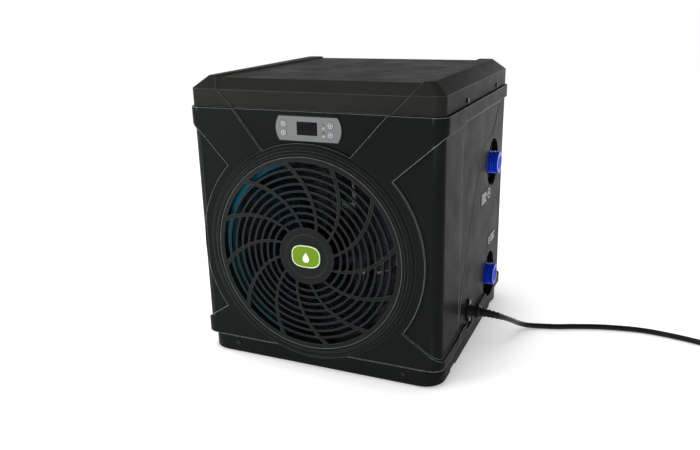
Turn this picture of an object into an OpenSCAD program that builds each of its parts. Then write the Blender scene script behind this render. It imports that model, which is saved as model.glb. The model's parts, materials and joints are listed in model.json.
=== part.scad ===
// Free-standing pool heat pump: a moulded plastic cabinet with a front fan grille, a control
// panel and two water ports, and the refrigerant circuit it holds.
// Millimetres. X to the right, Y to the back, Z up. The origin is on the floor, under the
// middle of the cabinet. The front faces -Y, and the water ports leave along +X.

/* [Cabinet] */
// Width of the cabinet over its raised rim
cabinet_w = 400; // [396:1:404]
// Depth of the cabinet over its raised rim
cabinet_d = 395; // [391:1:399]
// Height of the top edge of the shells
rim_top = 398; // [396:1:400]
// Step between the raised frame and the front recess
front_step = 4; // [3:0.5:4.5]
// Step between the raised rim and the side recess
side_step = 4; // [3.5:0.5:4.5]
// Wall thickness in the recesses
wall = 4; // [3.5:0.25:4.5]
// Height of the base tray's skirt
tray_h = 28; // [26:1:29]

/* [Lid] */
// Inset of the lid from the rim
lid_inset = 4; // [3:0.5:5]
// Height of the lid's upright side
lid_side_h = 26; // [24:1:28]
// Height of the lid's chamfer
lid_chamfer_h = 17; // [14:1:20]
// Inset of the lid's top from its side
lid_chamfer_in = 20; // [16:1:24]
// Depth of the lid's middle panel below its side ridges
lid_panel_step = 2.5; // [1.5:0.5:3]

/* [Fan] */
// Fan centre, measured sideways from the cabinet's middle
fan_x = -7; // [-8:0.5:-6]
// Height of the fan centre
fan_z = 186.5; // [185:0.5:188]
// Outer radius of the fan guard
guard_r = 148; // [147:0.5:148]
// Number of concentric guard rings
guard_rings = 8; // [6:1:10]
// Number of curved guard arms
guard_arms = 12; // [10:1:14]
// Number of fan blades
blade_count = 5; // [3:1:7]
// Radius at the blade tips
blade_r = 133; // [128:1:134]

/* [Water ports] */
// Radius over the crests of the port thread
port_r = 19; // [18.5:0.25:19.5]
// Bore radius of a port
port_bore_r = 14; // [13:0.5:15]
// Height of the lower port
port_low_z = 73; // [72:1:75]
// Height of the upper port
port_high_z = 276; // [274:1:278]
// Distance of the port axes behind the middle
port_y = 107; // [105:1:110]

/* [Control panel] */
// Width of the control panel
panel_w = 102; // [100:1:104]
// Height of the control panel
panel_h = 34.5; // [33:0.5:36]
// Height of the middle of the control panel
panel_z = 374; // [373:0.5:375]
// Button travel
button_travel = 0.5; // [0.3:0.1:0.6]

/* [Power cord] */
// Outer diameter of the mains cord
cord_d = 9; // [8:0.5:9]
// Mean radius of the coil
coil_r = 58; // [56:1:62]

/* [Hidden] */
$fn = 64;
gap = 0.5;
tiny = 0.02;
half_w = cabinet_w / 2;
half_d = cabinet_d / 2;
side_x = half_w - side_step;
front_y = -half_d;
recess_y = front_y + front_step;
inner_w = 2 * (side_x - wall);
inner_d = 2 * (half_d - front_step - wall);
inner_x = inner_w / 2;
inner_y = inner_d / 2;
rim_corner_r = 19;
inner_corner_r = 12;
shell_bottom = tray_h + 3;
seam_y = -97;
rear_seam_x = 165;
lid_screw_ys = [-78, 110];
lid_tab_x = inner_x - 3.5;
fan_centre = [fan_x, 0, fan_z];
frame_ring_r = 180;
lip_z = 47;
side_band_z = 378;
facet_depth = 0.6;
seam_groove = 1.8;

guard_front_y = front_y - 5;
guard_back_y = guard_front_y + 5.5;
guard_seat_r = guard_r + 0.3;
guard_hole_r = 143;
guard_rim_in = 141.5;
guard_hub_r = 44;
hub_line_r = 33.5;
guard_bar_w = 3;
badge_size = [23.5, 17.5];
badge_t = 2;

hub_r = 42;
hub_front_y = -187;
hub_back_y = -150;
shaft_r = 4;
motor_r = 42;
motor_front_y = -134;
motor_back_y = -78;
motor_bolt_off = 31;
shroud_in_r = 136;
shroud_t = 2.5;
flange_y = -inner_y;

tray_floor_z = 6;
tray_floor_t = 3;
floor_z = tray_floor_z + tray_floor_t;
pad_r = 20;
foot_spots = [[-165, -165], [165, -165], [-165, 165], [165, 165]];
drain_at = [-130, 130];
drain_r = 8;

cup_r = 41;
cup_floor_x = side_x - 12;
cup_wall = 2.5;
cup_plate_half = 48;
port_tip_x = 204;
plug_flange_t = 3.5;
plug_fit = 0.06;
plug_depth = 18;

exchanger_at = [105, port_y];
exchanger_r = 46;
exchanger_top = 306;
compressor_at = [112, -2];
compressor_r = 46;
compressor_foot_r = 54;
compressor_z0 = 24;
compressor_h = 206;
accumulator_at = [168, -90];
accumulator_r = 15.5;

coil_low_z = 40;
coil_high_z = 334;
coil_pass = 25;
coil_passes = 12;
coil_left_x = -173;
coil_back_y = 173;
coil_thick = 22;
fin_pitch = 6;
fin_t = 0.8;
coil_front_y = -110;
coil_end_x = 20;
coil_bend_r = 25;

partition_t = 1.2;
partition_right_x = 148;
partition_y = -60;
partition_left_x = 47;
partition_top = 340;

board_box_at = [56, -150];
board_box_size = [120, 168, 44];
board_box_z = partition_top;

bezel_front_y = recess_y - 2;
bezel_t = 2.5;
window_size = [32, 19];
window_at = [-1.5, panel_z + 0.5];
button_r = 4.3;
button_fit = 0.25;
button_spots = [[-38.5, 6.5], [-38.5, -6.2], [35, 6.2], [35, -6.5]];
light_spots = [[24, 6.7], [24, -4.4]];
board_front_y = -186;

gland_at = [-38, 63];
gland_plate_t = 3;
gland_out_x = side_x + 14;
nut_out_x = gland_out_x + 9;

cord_r = cord_d / 2;
coil_at = [650, 150];
coil_half_w = 1.5 * cord_d;
coil_tall = 4 * cord_d;
cord_route = [
    [219, -38, 63], [230, -37, 62], [242, -31, 58], [252, -14, 48], [260, 12, 33],
    [265, 38, 18], [278, 56, 8], [300, 68, 4.5], [327, 76, 4.5], [351, 86, 4.5],
    [400, 102, 4.5], [460, 111, 4.5], [520, 104, 4.5], [570, 91, 4.5], [612, 84, 4.5]
];
plug_route = [[696, 99, 30.5], [708, 105, 27.5], [722, 112, 21.5], [740, 119, 17.5]];
plug_at = [740, 119, 17.5];
plug_turn = 20;

// ---- shared shapes ----------------------------------------------------------------------

// Rectangle about the origin with true round corners
module round_rect(w, d, r) {
    square([w - 2 * r, d], center = true);
    square([w, d - 2 * r], center = true);
    for (x = [-1, 1], y = [-1, 1])
        translate([x * (w / 2 - r), y * (d / 2 - r)]) circle(r);
}

// Upright prism of a rounded rectangle between two heights
module round_prism(w, d, r, z0, z1) {
    translate([0, 0, z0]) linear_extrude(z1 - z0) round_rect(w, d, r);
}

// Extrudes an outline drawn as seen from the front, from depth y0 to y1
module front_extrude(y0, y1) {
    translate([0, y1, 0]) rotate([90, 0, 0]) linear_extrude(y1 - y0) children();
}

// Extrudes an outline drawn in Y and Z, from x0 to x1
module side_extrude(x0, x1) {
    translate([x0, 0, 0]) rotate([90, 0, 90]) linear_extrude(x1 - x0) children();
}

// Rod along Y at [x, z]
module rod_y(at, r, y0, y1) {
    translate([at[0], y0, at[1]]) rotate([-90, 0, 0]) cylinder(r = r, h = y1 - y0);
}

// Rod along X at [y, z]
module rod_x(at, r, x0, x1) {
    translate([x0, at[0], at[1]]) rotate([0, 90, 0]) cylinder(r = r, h = x1 - x0);
}

// Box between two corners
module block(low, high) {
    translate(low) cube(high - low);
}

// Turned shape about the fan axis; the outline is [radius, distance in front of y = 0]
module turned_on_fan(outline) {
    translate(fan_centre) rotate([90, 0, 0]) rotate_extrude($fn = 128) polygon(outline);
}

// Pan-head screw that points along +Z, with the underside of its head at the origin
module screw(head_r, head_h, shank_r, length) {
    difference() {
        translate([0, 0, -head_h]) cylinder(r = head_r, h = head_h);
        for (turn = [0, 90])
            rotate(turn) translate([-head_r * 0.6, -0.4, -head_h - 1])
                cube([head_r * 1.2, 0.8, 1 + head_h * 0.5]);
    }
    cylinder(r = shank_r, h = length);
}

// ---- swept tubes ------------------------------------------------------------------------

function unit(v) = v / norm(v);

// Point on a smooth curve through four neighbours, for t from 0 to 1 between the middle two
function smooth_point(a, b, c, d, t) =
    0.5 * (2 * b + (c - a) * t + (2 * a - 5 * b + 4 * c - d) * t * t
        + (3 * b - a - 3 * c + d) * t * t * t);

// Route with steps points added between each pair of its own points
function smooth_route(route, steps) = concat(
    [for (i = [0 : len(route) - 2], s = [0 : steps - 1])
        smooth_point(route[max(i - 1, 0)], route[i], route[i + 1],
            route[min(i + 2, len(route) - 1)], s / steps)],
    [route[len(route) - 1]]
);

// Direction of a route at one of its points
function heading(route, i) =
    unit(route[min(i + 1, len(route) - 1)] - route[max(i - 1, 0)]);

// Side directions carried along the route, so that the tube does not twist
function carried_side(side, ahead) = unit(side - (side * ahead) * ahead);
function side_list(route, i, side) =
    i >= len(route) ? [] :
    let (next = carried_side(side, heading(route, i)))
    concat([next], side_list(route, i + 1, next));

// Closed tube of radius r along a route
module tube(route, r, sides = 8) {
    count = len(route);
    first = heading(route, 0);
    start = abs(first[2]) > 0.9 ? [1, 0, 0] : [0, 0, 1];
    across = side_list(route, 0, start);
    rings = [for (i = [0 : count - 1], k = [0 : sides - 1])
        let (turn = 360 * k / sides, up = cross(heading(route, i), across[i]))
        route[i] + r * (cos(turn) * across[i] + sin(turn) * up)];
    walls = [for (i = [0 : count - 2], k = [0 : sides - 1])
        [i * sides + k, (i + 1) * sides + k,
            (i + 1) * sides + (k + 1) % sides, i * sides + (k + 1) % sides]];
    start_cap = [for (k = [0 : sides - 1]) k];
    end_cap = [for (k = [sides - 1 : -1 : 0]) (count - 1) * sides + k];
    polyhedron(rings, concat(walls, [start_cap, end_cap]), convexity = 8);
}

// ---- cabinet shells ---------------------------------------------------------------------

// Recess to the right of the fan ring, as seen from the front
module right_recess() {
    difference() {
        polygon([[97, 284], [127, 310], [187, 362], [212, 384], [212, 35], [140, 84], [110, 104]]);
        translate([fan_x, fan_z]) circle(frame_ring_r, $fn = 128);
    }
}

// Recess to the left of the fan ring, as seen from the front
module left_recess() {
    difference() {
        polygon([[-102, 279], [-132, 310], [-180, 362], [-212, 384], [-212, 44], [-149, 86],
            [-120, 107]]);
        translate([fan_x, fan_z]) circle(frame_ring_r, $fn = 128);
    }
}

// Recess behind the control panel, as seen from the front
module panel_recess() {
    difference() {
        polygon([[-124, 401], [-70, 332], [57, 330], [121.5, 401]]);
        translate([fan_x, fan_z]) circle(163, $fn = 128);
    }
}

// Cabinet walls with the raised rim everywhere
module plain_walls(z0, z1) {
    difference() {
        round_prism(cabinet_w, cabinet_d, rim_corner_r, z0, z1);
        round_prism(inner_w, inner_d, inner_corner_r, z0 - 1, z1 + 1);
    }
}

// Everything outside the recessed wall face
module outside_recess_face() {
    difference() {
        round_prism(cabinet_w + 40, cabinet_d + 40, rim_corner_r, 0, rim_top + 10);
        round_prism(2 * side_x, 2 * (half_d - front_step), rim_corner_r - front_step,
            -1, rim_top + 11);
    }
}

// Stepped ring round the fan guard
module fan_ring() {
    base = -front_y - tiny;
    turned_on_fan([[guard_seat_r, base - 1], [guard_seat_r, base + 5], [153, base + 5],
        [157, base + 2.5], [162, base + 2.5], [167, base], [167, base - 1]]);
}

module front_shell() {
    color("#1d1f1e") difference() {
        union() {
            intersection() {
                difference() {
                    plain_walls(shell_bottom, rim_top);
                    intersection() {
                        outside_recess_face();
                        front_extrude(front_y - 20, 0) {
                            right_recess();
                            left_recess();
                            panel_recess();
                        }
                    }
                }
                block([-half_w - 1, front_y - 1, 0], [half_w + 1, seam_y, rim_top + 1]);
            }
            fan_ring();
            for (x = [-141, 141])
                block([x - 12, -inner_y - tiny, 12], [x + 12, -inner_y + 3, shell_bottom + 12]);
        }
        rod_y([fan_x, fan_z], guard_hole_r, front_y - 20, -inner_y + 20, $fn = 128);
        rod_y([fan_x, fan_z], guard_seat_r, front_y - 20, guard_back_y, $fn = 128);
        front_extrude(front_y - 1, -inner_y + 1) translate([0, panel_z]) bezel_outline(1.2);
        guard_screw_spots() rod_y([0, 0], 1.5, -200, -180, $fn = 24);
        for (x = [-141, 141]) rod_y([x, 18], 2, -200, -180, $fn = 24);
    }
}

// Side wall behind the front seam, before its own features are cut
module side_wall(side) {
    intersection() {
        difference() {
            plain_walls(shell_bottom, rim_top);
            intersection() {
                outside_recess_face();
                side_extrude(-half_w - 20, half_w + 20)
                    polygon([[seam_y - 1, lip_z], [half_d + 20, lip_z],
                        [half_d + 20, side_band_z], [seam_y - 1, side_band_z]]);
            }
        }
        block([side > 0 ? rear_seam_x : -half_w - 1, seam_y + gap, 0],
            [side > 0 ? half_w + 1 : -rear_seam_x, half_d + 1, rim_top + 1]);
        union() {
            block([-side_x + 2, seam_y, 0], [side_x - 2, half_d + 1, rim_top + 1]);
            block([-half_w - 1, seam_y + gap + seam_groove, 0],
                [half_w + 1, half_d + 1, rim_top + 1]);
        }
    }
}

// Shallow facet sunk into the front and top of a side wall, drawn in Y and Z
module side_facet() {
    polygon([[seam_y + 5, 68], [-79, 102], [26, 314], [97, 325], [149, 370], [142, 374],
        [seam_y + 5, 374]]);
}

// Square of the right side wall that is moulded apart, with the round pocket of a port
module pocket_zone(z) {
    block([inner_x - tiny, port_y - cup_plate_half, max(z - cup_plate_half, shell_bottom) - tiny],
        [half_w + 1, port_y + cup_plate_half, z + cup_plate_half]);
}

module side_facet_cut() {
    side_extrude(side_x - facet_depth, side_x + 1) side_facet();
}

module right_side_panel() {
    color("#1b1d1c") difference() {
        union() {
            side_wall(1);
            lid_tabs(1);
        }
        side_facet_cut();
        pocket_zone(port_low_z);
        pocket_zone(port_high_z);
        block([side_x, gland_at[0] - 17, shell_bottom + 4],
            [half_w + 5, gland_at[0] + 17, gland_at[1] + 26]);
        rod_x(gland_at, 8, inner_x - 5, half_w + 5);
        for (dz = [-15, 15])
            rod_x([gland_at[0], gland_at[1] + dz], 1.5, inner_x - 5, half_w, $fn = 24);
        lid_screw_holes();
        rear_screw_spots() rod_y([0, 0], 2, half_d - 12, half_d + 5, $fn = 24);
    }
}

// Plates that fill the squares of the side wall, each sunk to a round cup about its port
module port_pockets() {
    color("#1b1d1c") for (z = [port_low_z, port_high_z]) difference() {
        union() {
            intersection() {
                side_wall(1);
                pocket_zone(z);
            }
            rod_x([port_y, z], cup_r + cup_wall, cup_floor_x - cup_wall, side_x);
        }
        side_facet_cut();
        rod_x([port_y, z], cup_r, cup_floor_x, half_w + 10);
        rod_x([port_y, z], port_r + 0.5, cup_floor_x - 5, cup_floor_x + 1);
    }
}

module left_side_panel() {
    color("#1b1d1c") difference() {
        union() {
            side_wall(-1);
            lid_tabs(-1);
        }
        for (z = [70 : 12 : 322], y = [-62, 12, 86])
            block([-half_w - 1, y, z], [-inner_x + 1, y + 66, z + 6]);
        lid_screw_holes();
        rear_screw_spots() rod_y([0, 0], 2, half_d - 12, half_d + 5, $fn = 24);
    }
}

module rear_panel() {
    recess_d = half_d - front_step;
    color("#1b1d1c") difference() {
        union() {
            block([-rear_seam_x + gap, inner_y, shell_bottom],
                [rear_seam_x - gap, recess_d, rim_top]);
            block([-rear_seam_x + gap, recess_d - tiny, shell_bottom],
                [rear_seam_x - gap, half_d, lip_z]);
            block([-rear_seam_x + gap, recess_d - tiny, side_band_z],
                [rear_seam_x - gap, half_d, rim_top]);
            for (x = [-1, 1], z = [60, 215, 350])
                block([x * rear_seam_x - 12, inner_y - 3, z - 10],
                    [x * rear_seam_x + 12, inner_y, z + 10]);
        }
        for (z = [70 : 12 : 322], x = [-150, -90, -30])
            block([x, inner_y - 1, z], [x + 54, half_d, z + 6]);
        rear_screw_spots() rod_y([0, 0], 2, half_d - 12, half_d + 5, $fn = 24);
    }
}

// Spots of the screws that hold the rear panel to the side panels
module rear_screw_spots() {
    for (x = [-rear_seam_x - 7, rear_seam_x + 7], z = [60, 215, 350])
        translate([x, 0, z]) children();
}

// Screws of the rear panel, and those through the tray's skirt into the shells
module shell_screws() {
    tray_y = cabinet_d / 2 - 4;
    color("#2a2a2a") {
        rear_screw_spots() translate([0, half_d - front_step, 0]) rotate([90, 0, 0])
            screw(3.6, 2, 2, 6.8, $fn = 24);
        for (x = [-141, 141]) {
            translate([x, -tray_y, 18]) rotate([-90, 0, 0]) screw(3.6, 1.8, 2, 6.9, $fn = 24);
            translate([x, tray_y, 18]) rotate([90, 0, 0]) screw(3.6, 1.8, 2, 6.9, $fn = 24);
        }
    }
}

// ---- base -------------------------------------------------------------------------------

module base_tray() {
    tray_w = cabinet_w - 8;
    tray_d = cabinet_d - 8;
    color("#1a1c1b") difference() {
        union() {
            difference() {
                round_prism(tray_w, tray_d, 32, 2, tray_h);
                round_prism(tray_w - 7, tray_d - 7, 29, floor_z, tray_h + 1);
                round_prism(tray_w - 6, tray_d - 6, 29, 1, tray_floor_z);
            }
            difference() {
                round_prism(inner_w - 1, inner_d - 8, inner_corner_r, tray_floor_z, tray_h + 6);
                round_prism(inner_w - 6, inner_d - 13, inner_corner_r - 2, tray_floor_z - 1,
                    tray_h + 7);
            }
            cylinder(r = pad_r, h = floor_z);
            translate([drain_at[0], drain_at[1], 1]) cylinder(r = drain_r + 2.5, h = floor_z - 1);
            for (x = [-110, 0]) block([x, -150, floor_z - tiny], [x + 4, 150, floor_z + 6]);
        }
        rod_x([port_y, port_low_z], cup_r + cup_wall + 1, cup_floor_x - 5, side_x - 1);
        for (y = [-135, 122]) block([170, y, 1], [half_w, y + 28, tray_floor_z]);
        for (y = [-135, 122]) block([-half_w, y, 1], [-170, y + 28, tray_floor_z]);
        translate([drain_at[0], drain_at[1], 0]) cylinder(r = drain_r, h = floor_z + 10);
        for (spot = foot_spots) translate([spot[0], spot[1], 0]) cylinder(r = 2.5, h = 12, $fn = 24);
        for (x = [-141, 141], side = [-1, 1])
            translate([x, side * (inner_y - 1), 18]) rotate([90, 0, 0])
                cylinder(r = 2, h = 20, center = true, $fn = 24);
        compressor_bolt_spots() cylinder(r = 2.5, h = 20, $fn = 24);
    }
}

module rubber_feet() {
    color("#101010") for (spot = foot_spots) translate([spot[0], spot[1], 0]) {
        cylinder(r = 13, h = tray_floor_z);
        cylinder(r = 2.5, h = floor_z, $fn = 24);
        translate([0, 0, floor_z]) cylinder(r1 = 4, r2 = 2.5, h = 4, $fn = 24);
    }
}

// ---- lid --------------------------------------------------------------------------------

// Block of the lid's outer shape, shrunk by inset on every side and at the top
module lid_block(inset) {
    w = cabinet_w - 2 * lid_inset - 2 * inset;
    d = cabinet_d - 2 * lid_inset - 2 * inset;
    z0 = rim_top + 1;
    z1 = rim_top + 1 + lid_side_h - inset * 0.4;
    z2 = rim_top + 1 + lid_side_h + lid_chamfer_h - inset;
    hull() {
        round_prism(w, d, 14, z0, z1, $fn = 48);
        round_prism(w - 2 * lid_chamfer_in, d - 2 * lid_chamfer_in, 8, z2 - 1, z2, $fn = 48);
    }
}

// Middle zone of the lid between its two side ridges
module lid_middle_zone() {
    top = rim_top + 1 + lid_side_h;
    front_extrude(front_y - 5, -172)
        polygon([[-122, rim_top], [-149, top], [-164, top + 20], [164, top + 20], [149, top],
            [122, rim_top]]);
    translate([0, 0, top - 1]) linear_extrude(30)
        polygon([[-164, -173], [164, -173], [150, half_d + 5], [-150, half_d + 5]]);
}

// Hollow under the lid's top
module lid_hollow() {
    hull() {
        round_prism(inner_w - 6, inner_d - 6, 9, rim_top - 10, rim_top + 20, $fn = 32);
        round_prism(inner_w - 50, inner_d - 50, 6, rim_top + 36, rim_top + 37, $fn = 32);
    }
}

module top_lid() {
    color("#242625") difference() {
        union() {
            difference() {
                lid_block(0);
                lid_middle_zone();
            }
            lid_block(lid_panel_step);
            round_prism(inner_w - 0.6, inner_d - 0.6, inner_corner_r - 0.3, rim_top - 4, rim_top + 2);
        }
        lid_hollow();
        lid_screw_holes();
    }
}

// Screws through the foot of the lid's sides into upstands of the side panels
module lid_screw_spots() {
    for (side = [0, 180], y = lid_screw_ys)
        rotate(side) translate([half_w - lid_inset, side == 0 ? y : -y, rim_top + 7]) children();
}

module lid_screw_holes() {
    lid_screw_spots() rotate([0, -90, 0]) cylinder(r = 2, h = 40, center = true, $fn = 24);
}

// Upstands of a side panel that the lid's screws bite into
module lid_tabs(side) {
    x0 = lid_tab_x - 4;
    for (y = lid_screw_ys) mirror([side > 0 ? 0 : 1, 0, 0]) {
        block([x0, y - 9, rim_top - 30], [lid_tab_x, y + 9, rim_top + 14]);
        block([x0, y - 9, rim_top - 30], [inner_x + tiny, y + 9, rim_top - 8]);
    }
}

module lid_screws() {
    color("#2a2a2a") lid_screw_spots() rotate([0, -90, 0]) screw(3.8, 2, 2, 15, $fn = 24);
}

// ---- fan guard --------------------------------------------------------------------------

// Direction of a guard arm at a radius: the arms lean back towards the hub
function arm_turn(r) = 12.5 - 35 * (144 - r) / 99;
function arm_half_width(r) = 1.75 + 2.6 * pow(max(r - guard_hub_r, 0) / 100, 1.4);

// Edge of an arm, on one side of its middle line
function arm_edge(side) = [for (r = [40 : 8.5 : 144.1])
    let (turn = arm_turn(r) + side * asin(arm_half_width(r) / r))
    [r * cos(turn), r * sin(turn)]];

module guard_arm() {
    there = arm_edge(-1);
    back = arm_edge(1);
    count = len(back);
    polygon(concat(there, [for (i = [count - 1 : -1 : 0]) back[i]]));
}

module fan_guard() {
    pitch = (guard_rim_in - guard_hub_r) / (guard_rings + 1);
    color("#141615") {
        front_extrude(guard_front_y + 1, guard_back_y) translate([fan_x, fan_z])
            for (i = [1 : guard_rings]) difference() {
                circle(guard_hub_r + i * pitch + guard_bar_w / 2, $fn = 128);
                circle(guard_hub_r + i * pitch - guard_bar_w / 2, $fn = 128);
            }
        front_extrude(guard_front_y, guard_back_y) translate([fan_x, fan_z])
            for (i = [0 : guard_arms - 1]) rotate(i * 360 / guard_arms) guard_arm();
        difference() {
            union() {
                rod_y([fan_x, fan_z], guard_r, guard_front_y, guard_back_y, $fn = 128);
                rod_y([fan_x, fan_z], 40, guard_front_y, guard_back_y + 3, $fn = 96);
            }
            difference() {
                rod_y([fan_x, fan_z], guard_rim_in, guard_front_y - 1, guard_back_y + 1, $fn = 128);
                rod_y([fan_x, fan_z], guard_hub_r, guard_front_y - 2, guard_back_y + 2, $fn = 96);
            }
            rod_y([fan_x, fan_z], 38, guard_front_y + 3, guard_back_y + 4, $fn = 96);
            difference() {
                rod_y([fan_x, fan_z], hub_line_r + 0.6, guard_front_y - 1, guard_front_y + 0.8, $fn = 96);
                rod_y([fan_x, fan_z], hub_line_r - 0.6, guard_front_y - 2, guard_front_y + 1, $fn = 96);
            }
            guard_screw_spots() rod_y([0, 0], 1.5, guard_back_y - 3.5, guard_back_y + 1, $fn = 24);
        }
    }
}

// Spots of the screws that hold the guard and the shroud to the front shell
module guard_screw_spots() {
    for (i = [0 : 5])
        translate([fan_x + 145.2 * cos(60 * i + 30), 0, fan_z + 145.2 * sin(60 * i + 30)])
            children();
}

module guard_screws() {
    reach = -flange_y;
    color("#555555") guard_screw_spots()
        translate([0, flange_y + 2, 0]) rotate([90, 0, 0])
            screw(3, 1.8, 1.5, guard_back_y * -1 - reach + 2 + 3, $fn = 24);
}

// Outline of the badge: an oval drawn towards its corners
function badge_outline() = [for (i = [0 : 95]) let (c = cos(i * 3.75), s = sin(i * 3.75))
    [badge_size[0] * sign(c) * pow(abs(c), 0.7), badge_size[1] * sign(s) * pow(abs(s), 0.7)]];

module guard_badge() {
    color("#7cc242") translate([fan_x, guard_front_y, fan_z]) rotate([90, 0, 0])
        linear_extrude(badge_t) polygon(badge_outline());
}

// ---- fan and motor ----------------------------------------------------------------------

// Point on a blade: u runs from root to tip, v from leading to trailing edge, side is 1 or -1
function blade_point(u, v, side) =
    let (r = hub_r - 1 + u * (blade_r - hub_r + 1),
        sweep = 24 + 14 * u,
        turn = -sweep / 2 + sweep * v * 1.9 + 16 * u * u,
        depth = 15 - 30 * v + 5 * sin(180 * v),
        thick = 1.1 * (0.35 + 0.65 * sin(180 * v)))
    [r * cos(turn), r * sin(turn), depth + side * thick];

module fan_blade() {
    nu = 8;
    nv = 8;
    per_side = (nu + 1) * (nv + 1);
    points = [for (side = [1, -1], i = [0 : nu], j = [0 : nv]) blade_point(i / nu, j / nv, side)];
    function at(side, i, j) = side * per_side + i * (nv + 1) + j;
    skins = [for (i = [0 : nu - 1], j = [0 : nv - 1]) each [
        [at(0, i, j), at(0, i, j + 1), at(0, i + 1, j + 1)],
        [at(0, i, j), at(0, i + 1, j + 1), at(0, i + 1, j)],
        [at(1, i, j), at(1, i + 1, j + 1), at(1, i, j + 1)],
        [at(1, i, j), at(1, i + 1, j), at(1, i + 1, j + 1)]]];
    ends = [for (j = [0 : nv - 1]) each [
        [at(0, 0, j), at(1, 0, j), at(1, 0, j + 1), at(0, 0, j + 1)],
        [at(0, nu, j + 1), at(1, nu, j + 1), at(1, nu, j), at(0, nu, j)]]];
    sides = [for (i = [0 : nu - 1]) each [
        [at(0, i + 1, 0), at(1, i + 1, 0), at(1, i, 0), at(0, i, 0)],
        [at(0, i, nv), at(1, i, nv), at(1, i + 1, nv), at(0, i + 1, nv)]]];
    polyhedron(points, concat(skins, ends, sides), convexity = 6);
}

module fan_rotor() {
    middle_y = (hub_front_y + hub_back_y) / 2;
    color("#1c2a3a") {
        difference() {
            rod_y([fan_x, fan_z], hub_r, hub_front_y, hub_back_y, $fn = 96);
            rod_y([fan_x, fan_z], hub_r - 3, hub_front_y + 4, hub_back_y + 1, $fn = 96);
            rod_y([fan_x, fan_z], shaft_r, hub_front_y - 1, hub_back_y, $fn = 32);
        }
        difference() {
            rod_y([fan_x, fan_z], 9, hub_front_y + 3, hub_back_y, $fn = 48);
            rod_y([fan_x, fan_z], shaft_r, hub_front_y, hub_back_y + 1, $fn = 32);
        }
        for (i = [0 : blade_count - 1])
            translate([fan_x, middle_y, fan_z]) rotate([90, 0, 0]) rotate(i * 360 / blade_count)
                fan_blade();
    }
}

module motor_shaft() {
    color("#b9bcc0")
        rod_y([fan_x, fan_z], shaft_r, hub_front_y - 7, motor_back_y - 6, $fn = 48);
}

module fan_nut() {
    color("#a9acb0") difference() {
        rod_y([fan_x, fan_z], 7, hub_front_y - 6, hub_front_y, $fn = 6);
        rod_y([fan_x, fan_z], shaft_r, hub_front_y - 7, hub_front_y + 1, $fn = 48);
    }
}

// Spots of the bolts that hold the motor to its bracket
module motor_bolt_spots() {
    for (x = [-1, 1], z = [-1, 1])
        translate([fan_x + motor_bolt_off * x, 0, fan_z + motor_bolt_off * z]) children();
}

module fan_motor() {
    color("#3b3d40") difference() {
        union() {
            rod_y([fan_x, fan_z], motor_r, motor_front_y, motor_back_y, $fn = 96);
            rod_y([fan_x, fan_z], 14, motor_front_y - 5, motor_front_y + 1, $fn = 48);
            motor_bolt_spots() rod_y([0, 0], 6, motor_back_y - 12, motor_back_y);
        }
        rod_y([fan_x, fan_z], shaft_r + 0.05, motor_front_y - 8, motor_back_y - 5, $fn = 48);
        motor_bolt_spots() rod_y([0, 0], 2, motor_back_y - 13, motor_back_y + 1, $fn = 24);
        for (i = [0 : 11])
            translate([fan_x, motor_front_y + 8, fan_z]) rotate([0, i * 30 + 15, 0])
                translate([motor_r - 1.5, 0, -2]) cube([4, 30, 4]);
    }
}

module motor_bracket() {
    y0 = motor_back_y;
    color("#b4b8bb") difference() {
        union() {
            for (side = [-1, 1]) translate([fan_x + motor_bolt_off * side, y0, 0]) {
                block([-10, 0, floor_z], [10, 2, 380]);
                block([-10, 0, floor_z], [10, 24, floor_z + 2]);
            }
            block([fan_x - 44, y0, fan_z - 50], [fan_x + 44, y0 + 2, fan_z - 24]);
            block([fan_x - 44, y0, fan_z + 24], [fan_x + 44, y0 + 2, fan_z + 50]);
            block([fan_x - 44, y0, 366], [fan_x + 44, y0 + 2, 380]);
        }
        motor_bolt_spots() rod_y([0, 0], 2, y0 - 1, y0 + 3, $fn = 24);
    }
}

module motor_bolts() {
    color("#9a9da0") motor_bolt_spots() translate([0, motor_back_y + 2, 0])
        rotate([90, 0, 0]) screw(4, 2.5, 2, 12, $fn = 24);
}

module fan_shroud() {
    color("#1f2120") difference() {
        union() {
            rod_y([fan_x, fan_z], shroud_in_r + shroud_t, flange_y, -152, $fn = 128);
            rod_y([fan_x, fan_z], 152, flange_y, flange_y + 2, $fn = 128);
        }
        rod_y([fan_x, fan_z], shroud_in_r, flange_y - 1, -151, $fn = 128);
        guard_screw_spots() rod_y([0, 0], 1.5, flange_y - 1, flange_y + 3, $fn = 24);
    }
}

// ---- refrigerant circuit ----------------------------------------------------------------

module evaporator_fins() {
    color("#2f7fa8") {
        for (y = [coil_front_y + 3 : fin_pitch : coil_back_y - coil_bend_r - 4])
            block([coil_left_x - coil_thick / 2, y, coil_low_z],
                [coil_left_x + coil_thick / 2, y + fin_t, coil_high_z]);
        for (x = [coil_left_x + coil_bend_r + 3 : fin_pitch : coil_end_x - 3])
            block([x, coil_back_y - coil_thick / 2, coil_low_z],
                [x + fin_t, coil_back_y + coil_thick / 2, coil_high_z]);
        for (turn = [12 : 13 : 80])
            translate([coil_left_x + coil_bend_r, coil_back_y - coil_bend_r, coil_low_z])
                rotate(90 + turn) translate([coil_bend_r - coil_thick / 2, 0, 0])
                    cube([coil_thick, fin_t, coil_high_z - coil_low_z]);
    }
}

// One pass of the coil, from its front end round the corner to its right end
function coil_pass_route(z) = concat(
    [[coil_left_x, coil_front_y - 4, z], [coil_left_x, coil_back_y - coil_bend_r, z]],
    [for (turn = [15 : 15 : 75])
        [coil_left_x + coil_bend_r * (1 - cos(turn)),
            coil_back_y - coil_bend_r * (1 - sin(turn)), z]],
    [[coil_left_x + coil_bend_r, coil_back_y, z], [coil_end_x + 4, coil_back_y, z]]
);
function reversed(list) = [for (i = [len(list) - 1 : -1 : 0]) list[i]];

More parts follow.
